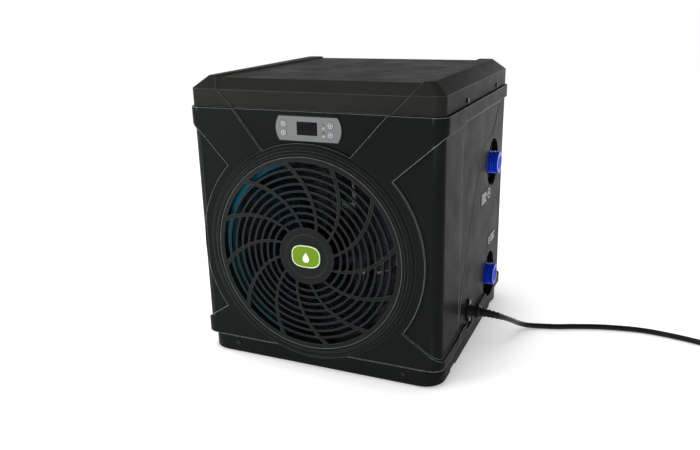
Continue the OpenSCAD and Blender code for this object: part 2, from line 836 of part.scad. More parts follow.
// Return bend from a pass to the pass above it
function return_bend(at, out, z) = [for (turn = [-60 : 30 : 60])
    at + out * (coil_pass / 2) * cos(turn) + [0, 0, z + coil_pass / 2 * (1 + sin(turn))]];

function coil_route(i) = i >= coil_passes ? [] :
    let (z = coil_low_z + 8 + i * coil_pass, forward = i % 2 == 1,
        pass = coil_pass_route(z),
        bend = forward ? return_bend([coil_end_x + 4, coil_back_y, 0], [1, 0, 0], z)
            : return_bend([coil_left_x, coil_front_y - 4, 0], [0, -1, 0], z))
    concat(forward ? pass : reversed(pass), i == coil_passes - 1 ? [] : bend, coil_route(i + 1));

module evaporator_tubes() {
    color("#b87333") tube(coil_route(0), 4.2);
}

module evaporator_end_plates() {
    color("#aeb2b5") {
        block([coil_left_x - coil_thick / 2, coil_front_y - 1, coil_low_z - 2],
            [coil_left_x + coil_thick / 2, coil_front_y, coil_high_z + 2]);
        block([coil_end_x, coil_back_y - coil_thick / 2, coil_low_z - 2],
            [coil_end_x + 1, coil_back_y + coil_thick / 2, coil_high_z + 2]);
        for (x = [coil_left_x, coil_end_x - 12], y = [coil_back_y, coil_front_y])
            if ((x == coil_left_x) != (y == coil_back_y))
                block([x - 10, y - (y == coil_front_y ? 0 : 11), floor_z],
                    [x + 12, y + 9, coil_low_z - 2]);
    }
}

module partition_plate() {
    t = partition_t;
    holes = [[173, 323], [173, 48]];
    color("#b0b4b6") difference() {
        union() {
            block([partition_right_x - t, -inner_y + 7, floor_z],
                [partition_right_x, partition_y, partition_top]);
            block([partition_left_x, partition_y - t, floor_z],
                [partition_right_x, partition_y, partition_top]);
            block([partition_left_x, partition_y - t, floor_z],
                [partition_left_x + t, inner_y - 7, partition_top]);
        }
        for (hole = holes) rod_x(hole, 9, partition_left_x - 5, partition_left_x + 5, $fn = 32);
    }
}

// Spots of the three compressor mounts
module compressor_bolt_spots() {
    for (turn = [60, 180, 300])
        translate([compressor_at[0], compressor_at[1], 0]) rotate(turn)
            translate([compressor_foot_r, 0, 0]) children();
}

module compressor() {
    r = compressor_r;
    foot_t = 4;
    color("#17191b") difference() {
        union() {
            translate([compressor_at[0], compressor_at[1], compressor_z0 + 3])
                rotate_extrude($fn = 96)
                    polygon([[0, 0], [r - 10, 0], [r - 3, 5], [r, 14], [r, compressor_h - 32],
                        [r - 5, compressor_h - 18], [r - 18, compressor_h - 7],
                        [18, compressor_h - 3], [0, compressor_h - 3]]);
            compressor_bolt_spots() translate([0, 0, compressor_z0]) {
                cylinder(r = 9, h = foot_t);
                translate([-26, -9, 0]) cube([26, 18, foot_t]);
            }
        }
        compressor_bolt_spots() cylinder(r = 2.5, h = compressor_z0 + foot_t + 1, $fn = 24);
    }
}

module compressor_grommets() {
    color("#0e0e0e") compressor_bolt_spots() translate([0, 0, floor_z]) difference() {
        cylinder(r = 8, h = compressor_z0 - floor_z);
        translate([0, 0, -1]) cylinder(r = 2.5, h = 40, $fn = 24);
    }
}

module compressor_bolts() {
    top = compressor_z0 + 4;
    color("#a9acb0") compressor_bolt_spots() translate([0, 0, tray_floor_z]) {
        cylinder(r = 2.5, h = top - tray_floor_z, $fn = 24);
        translate([0, 0, top - tray_floor_z]) cylinder(r = 5, h = 3, $fn = 6);
    }
}

module terminal_cover() {
    at = compressor_at;
    top = compressor_z0 + compressor_h;
    color("#202020") difference() {
        translate([at[0] - 12, at[1] - 14, top]) cube([26, 28, 14]);
        translate([at[0] - 10, at[1] - 12, top - 1]) cube([22, 24, 13]);
    }
}

module accumulator() {
    color("#1a1a1a") translate([accumulator_at[0], accumulator_at[1], 120])
        rotate_extrude($fn = 64) polygon([[0, 0], [6, 0], [13, 6], [accumulator_r, 14],
            [accumulator_r, 106], [13, 114], [6, 120], [0, 120]]);
}

module suction_pipe() {
    at = accumulator_at;
    away = [0.741, -0.671];
    color("#b87333") {
        tube(smooth_route([[coil_end_x + 4, coil_back_y, 323], [100, coil_back_y, 323],
            [158, coil_back_y - 2, 323], [169, 158, 323], [169, 60, 323], [169, -40, 323],
            [168.5, -80, 321], [168, -90, 306], [168, -90, 240]], 3), 5.5);
        tube(smooth_route([[at[0], at[1], 120], [at[0], at[1], 104], [167, -80, 93],
            [163, -62, 88], [156, -46, 88],
            [compressor_at[0] + away[0] * 45, compressor_at[1] + away[1] * 45, 88]], 3), 5);
    }
}

module discharge_pipe() {
    top = compressor_z0 + compressor_h;
    color("#b87333") tube(smooth_route([[132, -2, top - 12], [132, -2, 290], [132, 6, 314],
        [110, 40, 322], [90, 80, 322], [85, 100, 320], [85, port_y, exchanger_top + 6]], 4), 4.5);
}

module liquid_pipe() {
    color("#b87333") tube(smooth_route([[125, port_y, exchanger_top + 6], [124, 116, 322],
        [112, 140, 324], [86, 156, 322], [75, 159, 308], [75, 160, 270]], 4), 3.6);
}

module filter_drier() {
    color("#b87333") translate([75, 160, 200]) rotate_extrude($fn = 48)
        polygon([[0, 0], [3.6, 0], [9, 8], [9, 62], [3.6, 70], [0, 70]]);
}

module capillary_tube() {
    helix = [for (turn = [0 : 36 : 1440])
        [75 + 10 * cos(turn), 160 + 10 * sin(turn), 165 - 4.5 * turn / 360]];
    route = concat([[75, 160, 200], [76, 160, 185], [80, 160, 172]], helix,
        [[84, 163, 135], [80, 172, 90], [66, 173, 56], [coil_end_x + 4, coil_back_y, 48]]);
    color("#b87333") tube(route, 1.5);
}

module heat_exchanger() {
    wall_t = 3;
    z0 = floor_z;
    color("#26282a") difference() {
        union() {
            translate([exchanger_at[0], exchanger_at[1], z0]) {
                cylinder(r = exchanger_r, h = exchanger_top - z0 - 4, $fn = 96);
                translate([0, 0, exchanger_top - z0 - 4]) cylinder(r1 = exchanger_r,
                    r2 = exchanger_r - 4, h = 4, $fn = 96);
            }
            for (z = [port_low_z, port_high_z])
                rod_x([port_y, z], port_bore_r + 3, exchanger_at[0] + 30, cup_floor_x - cup_wall);
        }
        translate([exchanger_at[0], exchanger_at[1], z0 + 26])
            cylinder(r = exchanger_r - wall_t, h = exchanger_top - z0 - 30, $fn = 96);
        translate([exchanger_at[0], exchanger_at[1], z0 - 1])
            cylinder(r = exchanger_r - wall_t, h = 24, $fn = 96);
        for (z = [port_low_z, port_high_z])
            rod_x([port_y, z], port_bore_r, exchanger_at[0] + 20, cup_floor_x);
        for (x = [85, 125]) translate([x, port_y, exchanger_top - 10]) cylinder(r = 5, h = 20);
    }
}

module exchanger_coil() {
    steps = 13;
    turns = 14;
    z0 = 60;
    rise = (exchanger_top - 26 - z0) / turns;
    helix = [for (i = [0 : steps * turns])
        [exchanger_at[0] - 26 * cos(360 * i / steps), port_y - 26 * sin(360 * i / steps),
            z0 + rise * i / steps]];
    color("#8f9396") {
        tube(concat([[85, port_y, exchanger_top + 6], [85, port_y, exchanger_top - 12]],
            reversed(helix)), 4.5);
        tube([[125, port_y, exchanger_top + 6], [122, port_y, exchanger_top - 14],
            [exchanger_at[0], port_y, exchanger_top - 40], [exchanger_at[0], port_y, 70],
            [95, port_y, 58], [85, port_y, 52]], 4);
    }
}

// ---- water ports ------------------------------------------------------------------------

// Blue hose port: a tube with a round-crested thread
module water_port(z) {
    x0 = cup_floor_x - cup_wall;
    difference() {
        union() {
            rod_x([port_y, z], port_r - 1.6, x0, port_tip_x);
            for (x = [x0 + 4 : 4 : port_tip_x - 2]) rod_x([port_y, z], port_r, x, x + 2);
        }
        rod_x([port_y, z], port_bore_r, x0 - 1, port_tip_x + 1);
    }
}

module inlet_port() {
    color("#1f5fd0") water_port(port_low_z);
}

module outlet_port() {
    color("#1f5fd0") water_port(port_high_z);
}

// Push-in plug that keeps dirt out of a port while no hose is fitted
module port_plug(z) {
    x1 = port_tip_x + plug_fit;
    difference() {
        union() {
            rod_x([port_y, z], port_bore_r - plug_fit, x1 - plug_depth, x1 + 1);
            rod_x([port_y, z], port_r - 0.5, x1, x1 + plug_flange_t);
        }
        rod_x([port_y, z], port_bore_r - 2.5, x1 - plug_depth - 1, x1 + 1.5);
        difference() {
            rod_x([port_y, z], port_bore_r - 2.5, x1 + 2.5, x1 + plug_flange_t + 1);
            block([x1, port_y - 1.5, z - port_r], [x1 + plug_flange_t + 2, port_y + 1.5, z + port_r]);
        }
    }
}

module inlet_plug() {
    color("#1d59c4") port_plug(port_low_z);
}

module outlet_plug() {
    color("#1d59c4") port_plug(port_high_z);
}

// ---- controls ---------------------------------------------------------------------------

// Outline of the control panel: straight top and bottom, bowed ends, made smaller by less
module bezel_outline(less) {
    intersection() {
        square([panel_w - 2 * less, panel_h - 2 * less], center = true);
        union() {
            square([90 - 2 * less, panel_h], center = true);
            for (side = [-1, 1])
                translate([side * (panel_w / 2 - 29), 0]) circle(29 - less, $fn = 96);
        }
    }
}

// Spot i of a list of [x, z] offsets from the middle of the control panel
module panel_spot(spot) {
    translate([spot[0], 0, panel_z + spot[1]]) children();
}

module control_bezel() {
    back = bezel_front_y + bezel_t;
    color("#7d7f80") difference() {
        union() {
            front_extrude(bezel_front_y, recess_y) translate([0, panel_z]) bezel_outline(0);
            front_extrude(bezel_front_y + 1, -inner_y) translate([0, panel_z]) bezel_outline(1.2);
            for (side = [0, 1]) mirror([side, 0, 0])
                block([panel_w / 2 - 3.1, -inner_y - 1, panel_z - 3],
                    [panel_w / 2 - 1.4, board_front_y, panel_z + 3]);
        }
        front_extrude(back, -inner_y + 0.1) translate([0, panel_z]) bezel_outline(3.2);
        front_extrude(bezel_front_y - 1, bezel_front_y + 1) translate(window_at)
            square(window_size, center = true);
        front_extrude(bezel_front_y - 1, back + 1) translate(window_at)
            square([window_size[0] - 3, window_size[1] - 3], center = true);
        for (spot = button_spots)
            panel_spot(spot) rod_y([0, 0], button_r + button_fit, bezel_front_y - 1, back + 1);
        for (spot = light_spots)
            panel_spot(spot) rod_y([0, 0], 1.5, bezel_front_y - 1, back + 1, $fn = 32);
    }
}

module display_window() {
    color("#050608") front_extrude(bezel_front_y, bezel_front_y + 1) translate(window_at)
        square(window_size, center = true);
}

// Push button: cap, flange behind the panel and stem towards its switch
module button(i) {
    back = bezel_front_y + bezel_t;
    panel_spot(button_spots[i]) {
        rod_y([0, 0], button_r, bezel_front_y - 0.7, back + 0.4);
        rod_y([0, 0], button_r + 1.1, back + 0.3, back + 1.2);
        rod_y([0, 0], 1.6, back + 1.1, board_front_y - 1.6 - button_travel, $fn = 32);
    }
}

module power_button() {
    color("#c9cbcc") button(0);
}

module mode_button() {
    color("#c9cbcc") button(1);
}

module up_button() {
    color("#c9cbcc") button(2);
}

module down_button() {
    color("#c9cbcc") button(3);
}

module indicator_lights() {
    color("#58c04c") for (spot = light_spots)
        panel_spot(spot) rod_y([0, 0], 1.5, bezel_front_y - 0.3, board_front_y, $fn = 32);
}

module control_board() {
    color("#1e5b34") front_extrude(board_front_y, board_front_y + 1.6) translate([0, panel_z])
        square([panel_w - 6.4, panel_h - 4.5], center = true);
    color("#111111") {
        front_extrude(bezel_front_y + bezel_t + 0.5, board_front_y) translate(window_at)
            square([30, 15], center = true);
        for (spot = button_spots)
            panel_spot(spot) block([-2.5, board_front_y - 1.4, -2.5], [2.5, board_front_y + 0.1, 2.5]);
    }
}

module electrical_box() {
    low = [board_box_at[0], board_box_at[1], board_box_z];
    high = low + board_box_size;
    t = 2;
    color("#303234") difference() {
        block(low, high);
        block(low + [t, t, t], high + [-t, -t, 1]);
        rod_x([gland_at[0], low[2] + 12], 6, high[0] - 5, high[0] + 5, $fn = 32);
    }
}

module power_board() {
    z = board_box_z + 2;
    color("#1e5b34") block([66, -140, z + 5], [132, -30, z + 6.6]);
    color("#222222") {
        for (x = [70, 124], y = [-136, -38]) block([x, y, z], [x + 4, y + 4, z + 5.1]);
        block([74, -128, z + 6.5], [94, -108, z + 22]);
        block([100, -128, z + 6.5], [124, -112, z + 20]);
        block([74, -96, z + 6.5], [112, -60, z + 26]);
    }
}

module run_capacitor() {
    color("#d6d8da") translate([152, -134, board_box_z + 2 + 19]) rotate([-90, 0, 0]) {
        cylinder(r = 19, h = 76);
        translate([0, 0, 76]) cylinder(r = 16, h = 4);
    }
}

module terminal_block() {
    z = board_box_z + 2;
    color("#d8d4c8") difference() {
        block([144, -36, z], [170, 8, z + 16]);
        for (i = [0 : 4])
            block([150, -33.5 + 8.5 * i, z + 8], [171, -28 + 8.5 * i, z + 17]);
    }
}

// ---- cable entry ------------------------------------------------------------------------

// Outline of the gland's plate in Y and Z: a diamond with round ends
module gland_outline() {
    hull() {
        circle(13, $fn = 32);
        for (dz = [-15, 15]) translate([0, dz]) circle(5, $fn = 32);
    }
}

module cable_gland() {
    color("#151515") difference() {
        union() {
            side_extrude(side_x, side_x + gland_plate_t) translate(gland_at) gland_outline();
            rod_x(gland_at, 8, inner_x - 3, side_x + 1);
            rod_x(gland_at, 9.5, side_x + 1, gland_out_x);
        }
        rod_x(gland_at, cord_r, inner_x - 4, gland_out_x + 1);
        for (dz = [-15, 15])
            rod_x([gland_at[0], gland_at[1] + dz], 1.5, side_x - 1, half_w, $fn = 24);
    }
}

module gland_nut() {
    color("#121212") difference() {
        union() {
            rod_x(gland_at, 12.5, gland_out_x, gland_out_x + 5, $fn = 6);
            translate([gland_out_x + 5, gland_at[0], gland_at[1]]) rotate([0, 90, 0])
                cylinder(r1 = 10, r2 = 6.5, h = nut_out_x - gland_out_x - 5);
        }
        rod_x(gland_at, cord_r, gland_out_x - 1, nut_out_x + 1);
    }
}

module gland_screws() {
    color("#777777") for (dz = [-15, 15])
        translate([side_x + gland_plate_t, gland_at[0], gland_at[1] + dz]) rotate([0, -90, 0])
            screw(3, 1.6, 1.5, 7, $fn = 24);
}

module port_labels() {
    color("#26292a") side_extrude(side_x, side_x + 0.3) {
        translate([64, 227]) round_rect(72, 27, 2);
        translate([118, 137.5]) round_rect(60, 22, 2);
    }
}

// ---- cord -------------------------------------------------------------------------------

module power_cord() {
    color("#0c0c0c") {
        tube(smooth_route(cord_route, 3), cord_r);
        tube(smooth_route(plug_route, 3), cord_r);
    }
}

module cord_coil() {
    color("#0c0c0c") translate([coil_at[0], coil_at[1], 0]) rotate_extrude($fn = 64)
        translate([coil_r - coil_half_w, 0]) square([2 * coil_half_w, coil_tall]);
}

module coil_tie() {
    w = 2 * coil_half_w;
    color("#1a1a1a") translate([coil_at[0], coil_at[1] + coil_r, 0]) difference() {
        translate([-4, -w / 2 - 1.2, 0]) cube([8, w + 2.4, coil_tall + 1.4]);
        translate([-5, -w / 2, -1]) cube([10, w, coil_tall + 1]);
    }
}

// Earthed two-pin mains plug, cable end at the origin and pins along +X
module power_plug() {
    color("#0c0c0c") translate(plug_at) rotate([0, 0, plug_turn]) {
        rotate([0, 90, 0]) cylinder(r1 = 6.5, r2 = 11, h = 16);
        translate([16, 0, 0]) rotate([0, 90, 0]) cylinder(r = 17.5, h = 20);
        for (y = [-9.5, 9.5]) translate([36, y, 0]) rotate([0, 90, 0]) cylinder(r = 2.4, h = 19);
    }
}

base_tray();
rubber_feet();
front_shell();
right_side_panel();
port_pockets();
left_side_panel();
rear_panel();
shell_screws();
top_lid();
lid_screws();
fan_guard();
guard_badge();
guard_screws();
fan_rotor();
motor_shaft();
fan_nut();
fan_motor();
motor_bracket();
motor_bolts();
fan_shroud();
evaporator_fins();
evaporator_tubes();
evaporator_end_plates();
partition_plate();
compressor();
compressor_grommets();
compressor_bolts();
terminal_cover();
accumulator();
suction_pipe();
discharge_pipe();
liquid_pipe();
filter_drier();
capillary_tube();
heat_exchanger();
exchanger_coil();
inlet_port();
outlet_port();
inlet_plug();
outlet_plug();
control_bezel();
display_window();
power_button();
mode_button();
up_button();
down_button();
indicator_lights();
control_board();
electrical_box();
power_board();
run_capacitor();
terminal_block();
cable_gland();
gland_nut();
gland_screws();
port_labels();
power_cord();
cord_coil();
coil_tie();
power_plug();
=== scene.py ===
"""Looks of the pool heat pump: camera, cord, materials, small printed and moulded details and
studio light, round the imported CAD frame. Metres, X right, Y back, Z up."""

import json
import math
import random

import bmesh
import bpy
from mathutils import Matrix, Vector


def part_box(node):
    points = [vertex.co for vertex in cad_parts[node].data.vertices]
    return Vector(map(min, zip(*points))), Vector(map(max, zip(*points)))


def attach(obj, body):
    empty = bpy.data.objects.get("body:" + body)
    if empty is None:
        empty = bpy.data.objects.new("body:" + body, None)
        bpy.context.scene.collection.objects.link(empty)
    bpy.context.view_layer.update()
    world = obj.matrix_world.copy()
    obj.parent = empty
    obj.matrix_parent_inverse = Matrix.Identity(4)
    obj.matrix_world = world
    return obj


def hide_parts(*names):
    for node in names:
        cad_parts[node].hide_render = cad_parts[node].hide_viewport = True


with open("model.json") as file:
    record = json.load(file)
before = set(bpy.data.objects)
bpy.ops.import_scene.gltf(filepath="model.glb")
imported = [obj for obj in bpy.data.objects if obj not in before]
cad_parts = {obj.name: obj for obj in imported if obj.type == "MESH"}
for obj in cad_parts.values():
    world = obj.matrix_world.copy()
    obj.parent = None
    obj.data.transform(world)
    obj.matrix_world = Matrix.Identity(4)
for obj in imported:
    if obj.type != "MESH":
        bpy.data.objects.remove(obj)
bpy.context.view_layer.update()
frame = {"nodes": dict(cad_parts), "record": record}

NODES = frame["nodes"]
CABINET = "cabinet"
MM = 0.001

# ---- camera -----------------------------------------------------------------------------

CAMERA_AT = (0.451, -1.081, 0.55)
CAMERA_AZIMUTH = math.radians(23.764)
CAMERA_ELEVATION = math.radians(17.756)
CAMERA_ROLL = math.radians(-1.245)
CAMERA_LENS = 36.78
SENSOR_WIDTH = 36.0
CLIP_START = 0.05


def make_camera():
    data = bpy.data.cameras.new("camera")
    data.lens = CAMERA_LENS
    data.sensor_width = SENSOR_WIDTH
    data.clip_start = CLIP_START
    camera = bpy.data.objects.new("camera", data)
    bpy.context.collection.objects.link(camera)
    level = math.cos(CAMERA_ELEVATION)
    back = Vector((math.sin(CAMERA_AZIMUTH) * level, -math.cos(CAMERA_AZIMUTH) * level,
                   math.sin(CAMERA_ELEVATION)))
    right = Vector((0, 0, 1)).cross(back).normalized()
    up = back.cross(right)
    rolled_right = math.cos(CAMERA_ROLL) * right + math.sin(CAMERA_ROLL) * up
    rolled_up = back.cross(rolled_right)
    turn = Matrix((rolled_right, rolled_up, back)).transposed()
    camera.matrix_world = Matrix.Translation(CAMERA_AT) @ turn.to_4x4()
    bpy.context.scene.camera = camera
    bpy.context.scene.view_settings.view_transform = "Standard"


make_camera()

# ---- mesh helpers -----------------------------------------------------------------------

WELD_DISTANCE = 1e-7


def add_mesh(name, bm, body=CABINET, smooth=False):
    """Turns a bmesh into a piece that rides on a body."""
    bmesh.ops.remove_doubles(bm, verts=bm.verts, dist=WELD_DISTANCE)
    bmesh.ops.recalc_face_normals(bm, faces=bm.faces)
    mesh = bpy.data.meshes.new(name)
    bm.to_mesh(mesh)
    bm.free()
    for polygon in mesh.polygons:
        polygon.use_smooth = smooth
    piece = bpy.data.objects.new(name, mesh)
    bpy.context.collection.objects.link(piece)
    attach(piece, body)
    return piece


def add_loft(bm, rings, closed_ends=True):
    """Skins a list of point rings, each with the same number of points."""
    made = [[bm.verts.new(point) for point in ring] for ring in rings]
    count = len(made[0])
    for low, high in zip(made, made[1:]):
        for i in range(count):
            j = (i + 1) % count
            bm.faces.new((low[i], low[j], high[j], high[i]))
    if closed_ends:
        bm.faces.new(made[0][::-1])
        bm.faces.new(made[-1])


def add_box(bm, low, high):
    """Adds a closed box between two corners."""
    matrix = Matrix.Translation((Vector(low) + Vector(high)) / 2)
    size = Vector(high) - Vector(low)
    bmesh.ops.create_cube(bm, size=1.0, matrix=matrix @ Matrix.Diagonal((*size, 1.0)))


def add_plate(bm, outline, y_front, y_back):
    """Adds a plate whose outline is a list of [x, z], between two depths."""
    rings = [[(x, y, z) for x, z in outline] for y in (y_front, y_back)]
    add_loft(bm, rings)


def join_loops(bm, loops):
    """Adds the faces from each loop of points to the next, and from the last to the first."""
    steps = len(loops[0])
    for k, here in enumerate(loops):
        there = loops[(k + 1) % len(loops)]
        for i in range(steps):
            j = (i + 1) % steps
            bm.faces.new((here[i], here[j], there[j], there[i]))


def add_ring(bm, centre, outer, inner, y_front, y_back, steps=48):
    """Adds a flat elliptic ring in a plane of constant depth; outer and inner are [rx, rz]."""
    loops = []
    for (rx, rz), y in ((outer, y_back), (outer, y_front), (inner, y_front), (inner, y_back)):
        loops.append([bm.verts.new((centre[0] + rx * math.cos(turn), y,
                                    centre[1] + rz * math.sin(turn)))
                      for turn in (math.tau * i / steps for i in range(steps))])
    join_loops(bm, loops)


def smooth_route(route, steps):
    """Catmull-Rom curve through a route's points."""
    points = []
    last = len(route) - 1
    for i in range(last):
        a, b, c, d = (Vector(route[k]) for k in (max(i - 1, 0), i, i + 1, min(i + 2, last)))
        for s in range(steps):
            t = s / steps
            points.append(0.5 * (2 * b + (c - a) * t + (2 * a - 5 * b + 4 * c - d) * t * t
                                 + (3 * b - a - 3 * c + d) * t ** 3))
    points.append(Vector(route[last]))
    return points


# ---- power cord -------------------------------------------------------------------------

CORD_D = 9 * MM
CORD_ROUTE = [
    (219, -38, 63), (230, -37, 62), (242, -31, 58), (252, -14, 48), (260, 12, 33),
    (265, 38, 18), (278, 56, 8), (300, 68, 4.5), (327, 76, 4.5), (351, 86, 4.5),
    (400, 102, 4.5), (460, 111, 4.5), (520, 104, 4.5), (570, 91, 4.5), (612, 84, 4.5)]
TAIL_ROUTE = [(708, 105, 27.5), (722, 112, 21.5), (740, 119, 17.5)]
COIL_AT = (650, 150)
COIL_R = 58
COIL_TURNS = 12
COIL_COLUMNS = 3
COIL_START = math.radians(-90)
COIL_LEAVES = math.radians(30)
POINTS_PER_TURN = 36
SHIFT_PART = 0.2


def turn_place(turn):
    """Radius and height of a whole turn of the coil, in millimetres: layers go in and out."""
    turn = min(turn, COIL_TURNS - 1)
    layer, column = divmod(turn, COIL_COLUMNS)
    inward = column if layer % 2 == 0 else COIL_COLUMNS - 1 - column
    pitch = CORD_D / MM
    return COIL_R + pitch * (1 - inward), pitch * (0.5 + layer)


def coil_points():
    """The coil's turns, each moving to its neighbour's place over its last part."""
    points = []
    total = COIL_TURNS + COIL_LEAVES / math.tau
    for i in range(int(total * POINTS_PER_TURN) + 1):
        turn, part = divmod(i / POINTS_PER_TURN, 1)
        here, there = turn_place(int(turn)), turn_place(int(turn) + 1)
        move = max(0.0, (part - 1 + SHIFT_PART) / SHIFT_PART)
        ease = move * move * (3 - 2 * move)
        r = here[0] + (there[0] - here[0]) * ease
        z = here[1] + (there[1] - here[1]) * ease
        angle = COIL_START + math.tau * i / POINTS_PER_TURN
        points.append(Vector((COIL_AT[0] + r * math.cos(angle), COIL_AT[1] + r * math.sin(angle), z)))
    return points


def cord_line():
    coil = coil_points()
    way_in = smooth_route(CORD_ROUTE + [tuple(coil[0]), tuple(coil[2])], 6)[:-6]
    way_out = smooth_route([tuple(coil[-2]), tuple(coil[-1])] + TAIL_ROUTE, 6)[6:]
    return [point * MM for point in way_in + coil[1:-1] + way_out]


def add_tube(bm, points, radius, sides=14):
    """Skins a closed tube along points, without twisting."""
    across = Vector((0, 0, 1))
    rings = []
    last = len(points) - 1
    for i, point in enumerate(points):
        ahead = (points[min(i + 1, last)] - points[max(i - 1, 0)]).normalized()
        across = (across - across.dot(ahead) * ahead).normalized()
        up = ahead.cross(across)
        rings.append([point + radius * (math.cos(turn) * across + math.sin(turn) * up)
                      for turn in (math.tau * k / sides for k in range(sides))])
    add_loft(bm, rings)


def make_cord():
    bm = bmesh.new()
    add_tube(bm, CORD_LINE, CORD_D / 2)
    cord = add_mesh("mains_cord", bm, smooth=True)
    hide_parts("power_cord", "cord_coil")
    return cord


# Millimetres, as the profiles below are
RELIEF_SECTIONS = 21
RELIEF_BASE_R = 7.4
RELIEF_TAPER = 2.1
RELIEF_GROOVE = 0.75
RELIEF_PLAIN_PART = 0.15
ROUND_SIDES = 20


def make_strain_relief():
    """Ribbed rubber sleeve that tapers along the cord's first stretch."""
    line = smooth_route(CORD_ROUTE[:4], 8)
    bm = bmesh.new()
    rings = []
    for i in range(RELIEF_SECTIONS):
        here = line[i]
        ahead = (line[i + 1] - line[max(i - 1, 0)]).normalized()
        side = ahead.cross(Vector((0, 0, 1))).normalized()
        up = side.cross(ahead)
        part = i / (RELIEF_SECTIONS - 1)
        groove = RELIEF_GROOVE if i % 4 in (2, 3) and part > RELIEF_PLAIN_PART else 0.0
        r = RELIEF_BASE_R - RELIEF_TAPER * part - groove
        rings.append([(here + r * (math.cos(a) * side + math.sin(a) * up)) * MM
                      for a in (math.tau * k / ROUND_SIDES for k in range(ROUND_SIDES))])
    add_loft(bm, rings)
    return add_mesh("strain_relief", bm, smooth=True)


PLUG_ANGLE = math.radians(20)
PLUG_SIDES = 48
PLUG_FLAT_FROM = 21
PLUG_FLAT = 1.6
# Distance from the cord's end and radius
PLUG_PROFILE = [
    (0, 5.2), (1, 6.3), (4, 6.8), (5, 6.2), (6.5, 6.2), (7.5, 7.4), (9, 7.4), (10, 6.9),
    (11.5, 6.9), (12.5, 8.6), (16, 11), (19, 14.6), (20.5, 16.4), (22.5, 17.3),
    (34.5, 17.4), (35.6, 16.9), (36, 16.2)]
PIN_PROFILE = [(36, 2.4), (53.6, 2.4), (54.6, 2.0), (55, 1.2)]
PIN_OFFSET = 9.5
CLIP_ENDS = (25, 36.1)
CLIP_SECTION = ((15.4, -3.5), (16.3, -3.5), (16.3, 3.5), (15.4, 3.5))


def make_plug():
    """Earthed two-pin plug: grooved grip, round face with side contacts, and two pins."""
    at = Vector(TAIL_ROUTE[-1]) * MM
    turn = Matrix.Translation(at) @ Matrix.Rotation(PLUG_ANGLE, 4, "Z")
    bm = bmesh.new()

    def ring(x, r, flat):
        points = []
        for k in range(PLUG_SIDES):
            angle = math.tau * k / PLUG_SIDES
            y, z = r * math.cos(angle), r * math.sin(angle)
            y = max(-r + flat, min(r - flat, y))
            points.append(turn @ (Vector((x, y, z)) * MM))
        return points

    add_loft(bm, [ring(x, r, PLUG_FLAT if x > PLUG_FLAT_FROM else 0.0) for x, r in PLUG_PROFILE])
    body = add_mesh("plug_body", bm, smooth=True)
    bevel_piece(body, 0.3 * MM)
    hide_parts("power_plug")
    bm = bmesh.new()
    for side in (-1, 1):
        middle_y = side * PIN_OFFSET
        add_loft(bm, [[turn @ (Vector((x, middle_y + r * math.cos(a), r * math.sin(a))) * MM)
                       for a in (math.tau * k / ROUND_SIDES for k in range(ROUND_SIDES))]
                      for x, r in PIN_PROFILE])
    for side in (-1, 1):
        clip = [turn @ (Vector((x, side * y, z)) * MM)
                for x in CLIP_ENDS for y, z in CLIP_SECTION]
        add_loft(bm, [clip[:4], clip[4:]])
    pins = add_mesh("plug_pins", bm)
    return body, pins


BEVEL_SEGMENTS = 2
BEVEL_FROM = math.radians(28)
BEVEL_WELD = 2e-6


def bevel_piece(piece, width):
    """Rounds a piece's sharp edges, after welding its split vertices."""
    weld = piece.modifiers.new("weld", "WELD")
    weld.merge_threshold = BEVEL_WELD
    bevel = piece.modifiers.new("bevel", "BEVEL")
    bevel.width = width
    bevel.segments = BEVEL_SEGMENTS
    bevel.limit_method = "ANGLE"
    bevel.angle_limit = BEVEL_FROM
    bevel.harden_normals = False


CORD_LINE = cord_line()
cord = make_cord()
relief = make_strain_relief()
plug, plug_pins = make_plug()

# ---- materials --------------------------------------------------------------------------


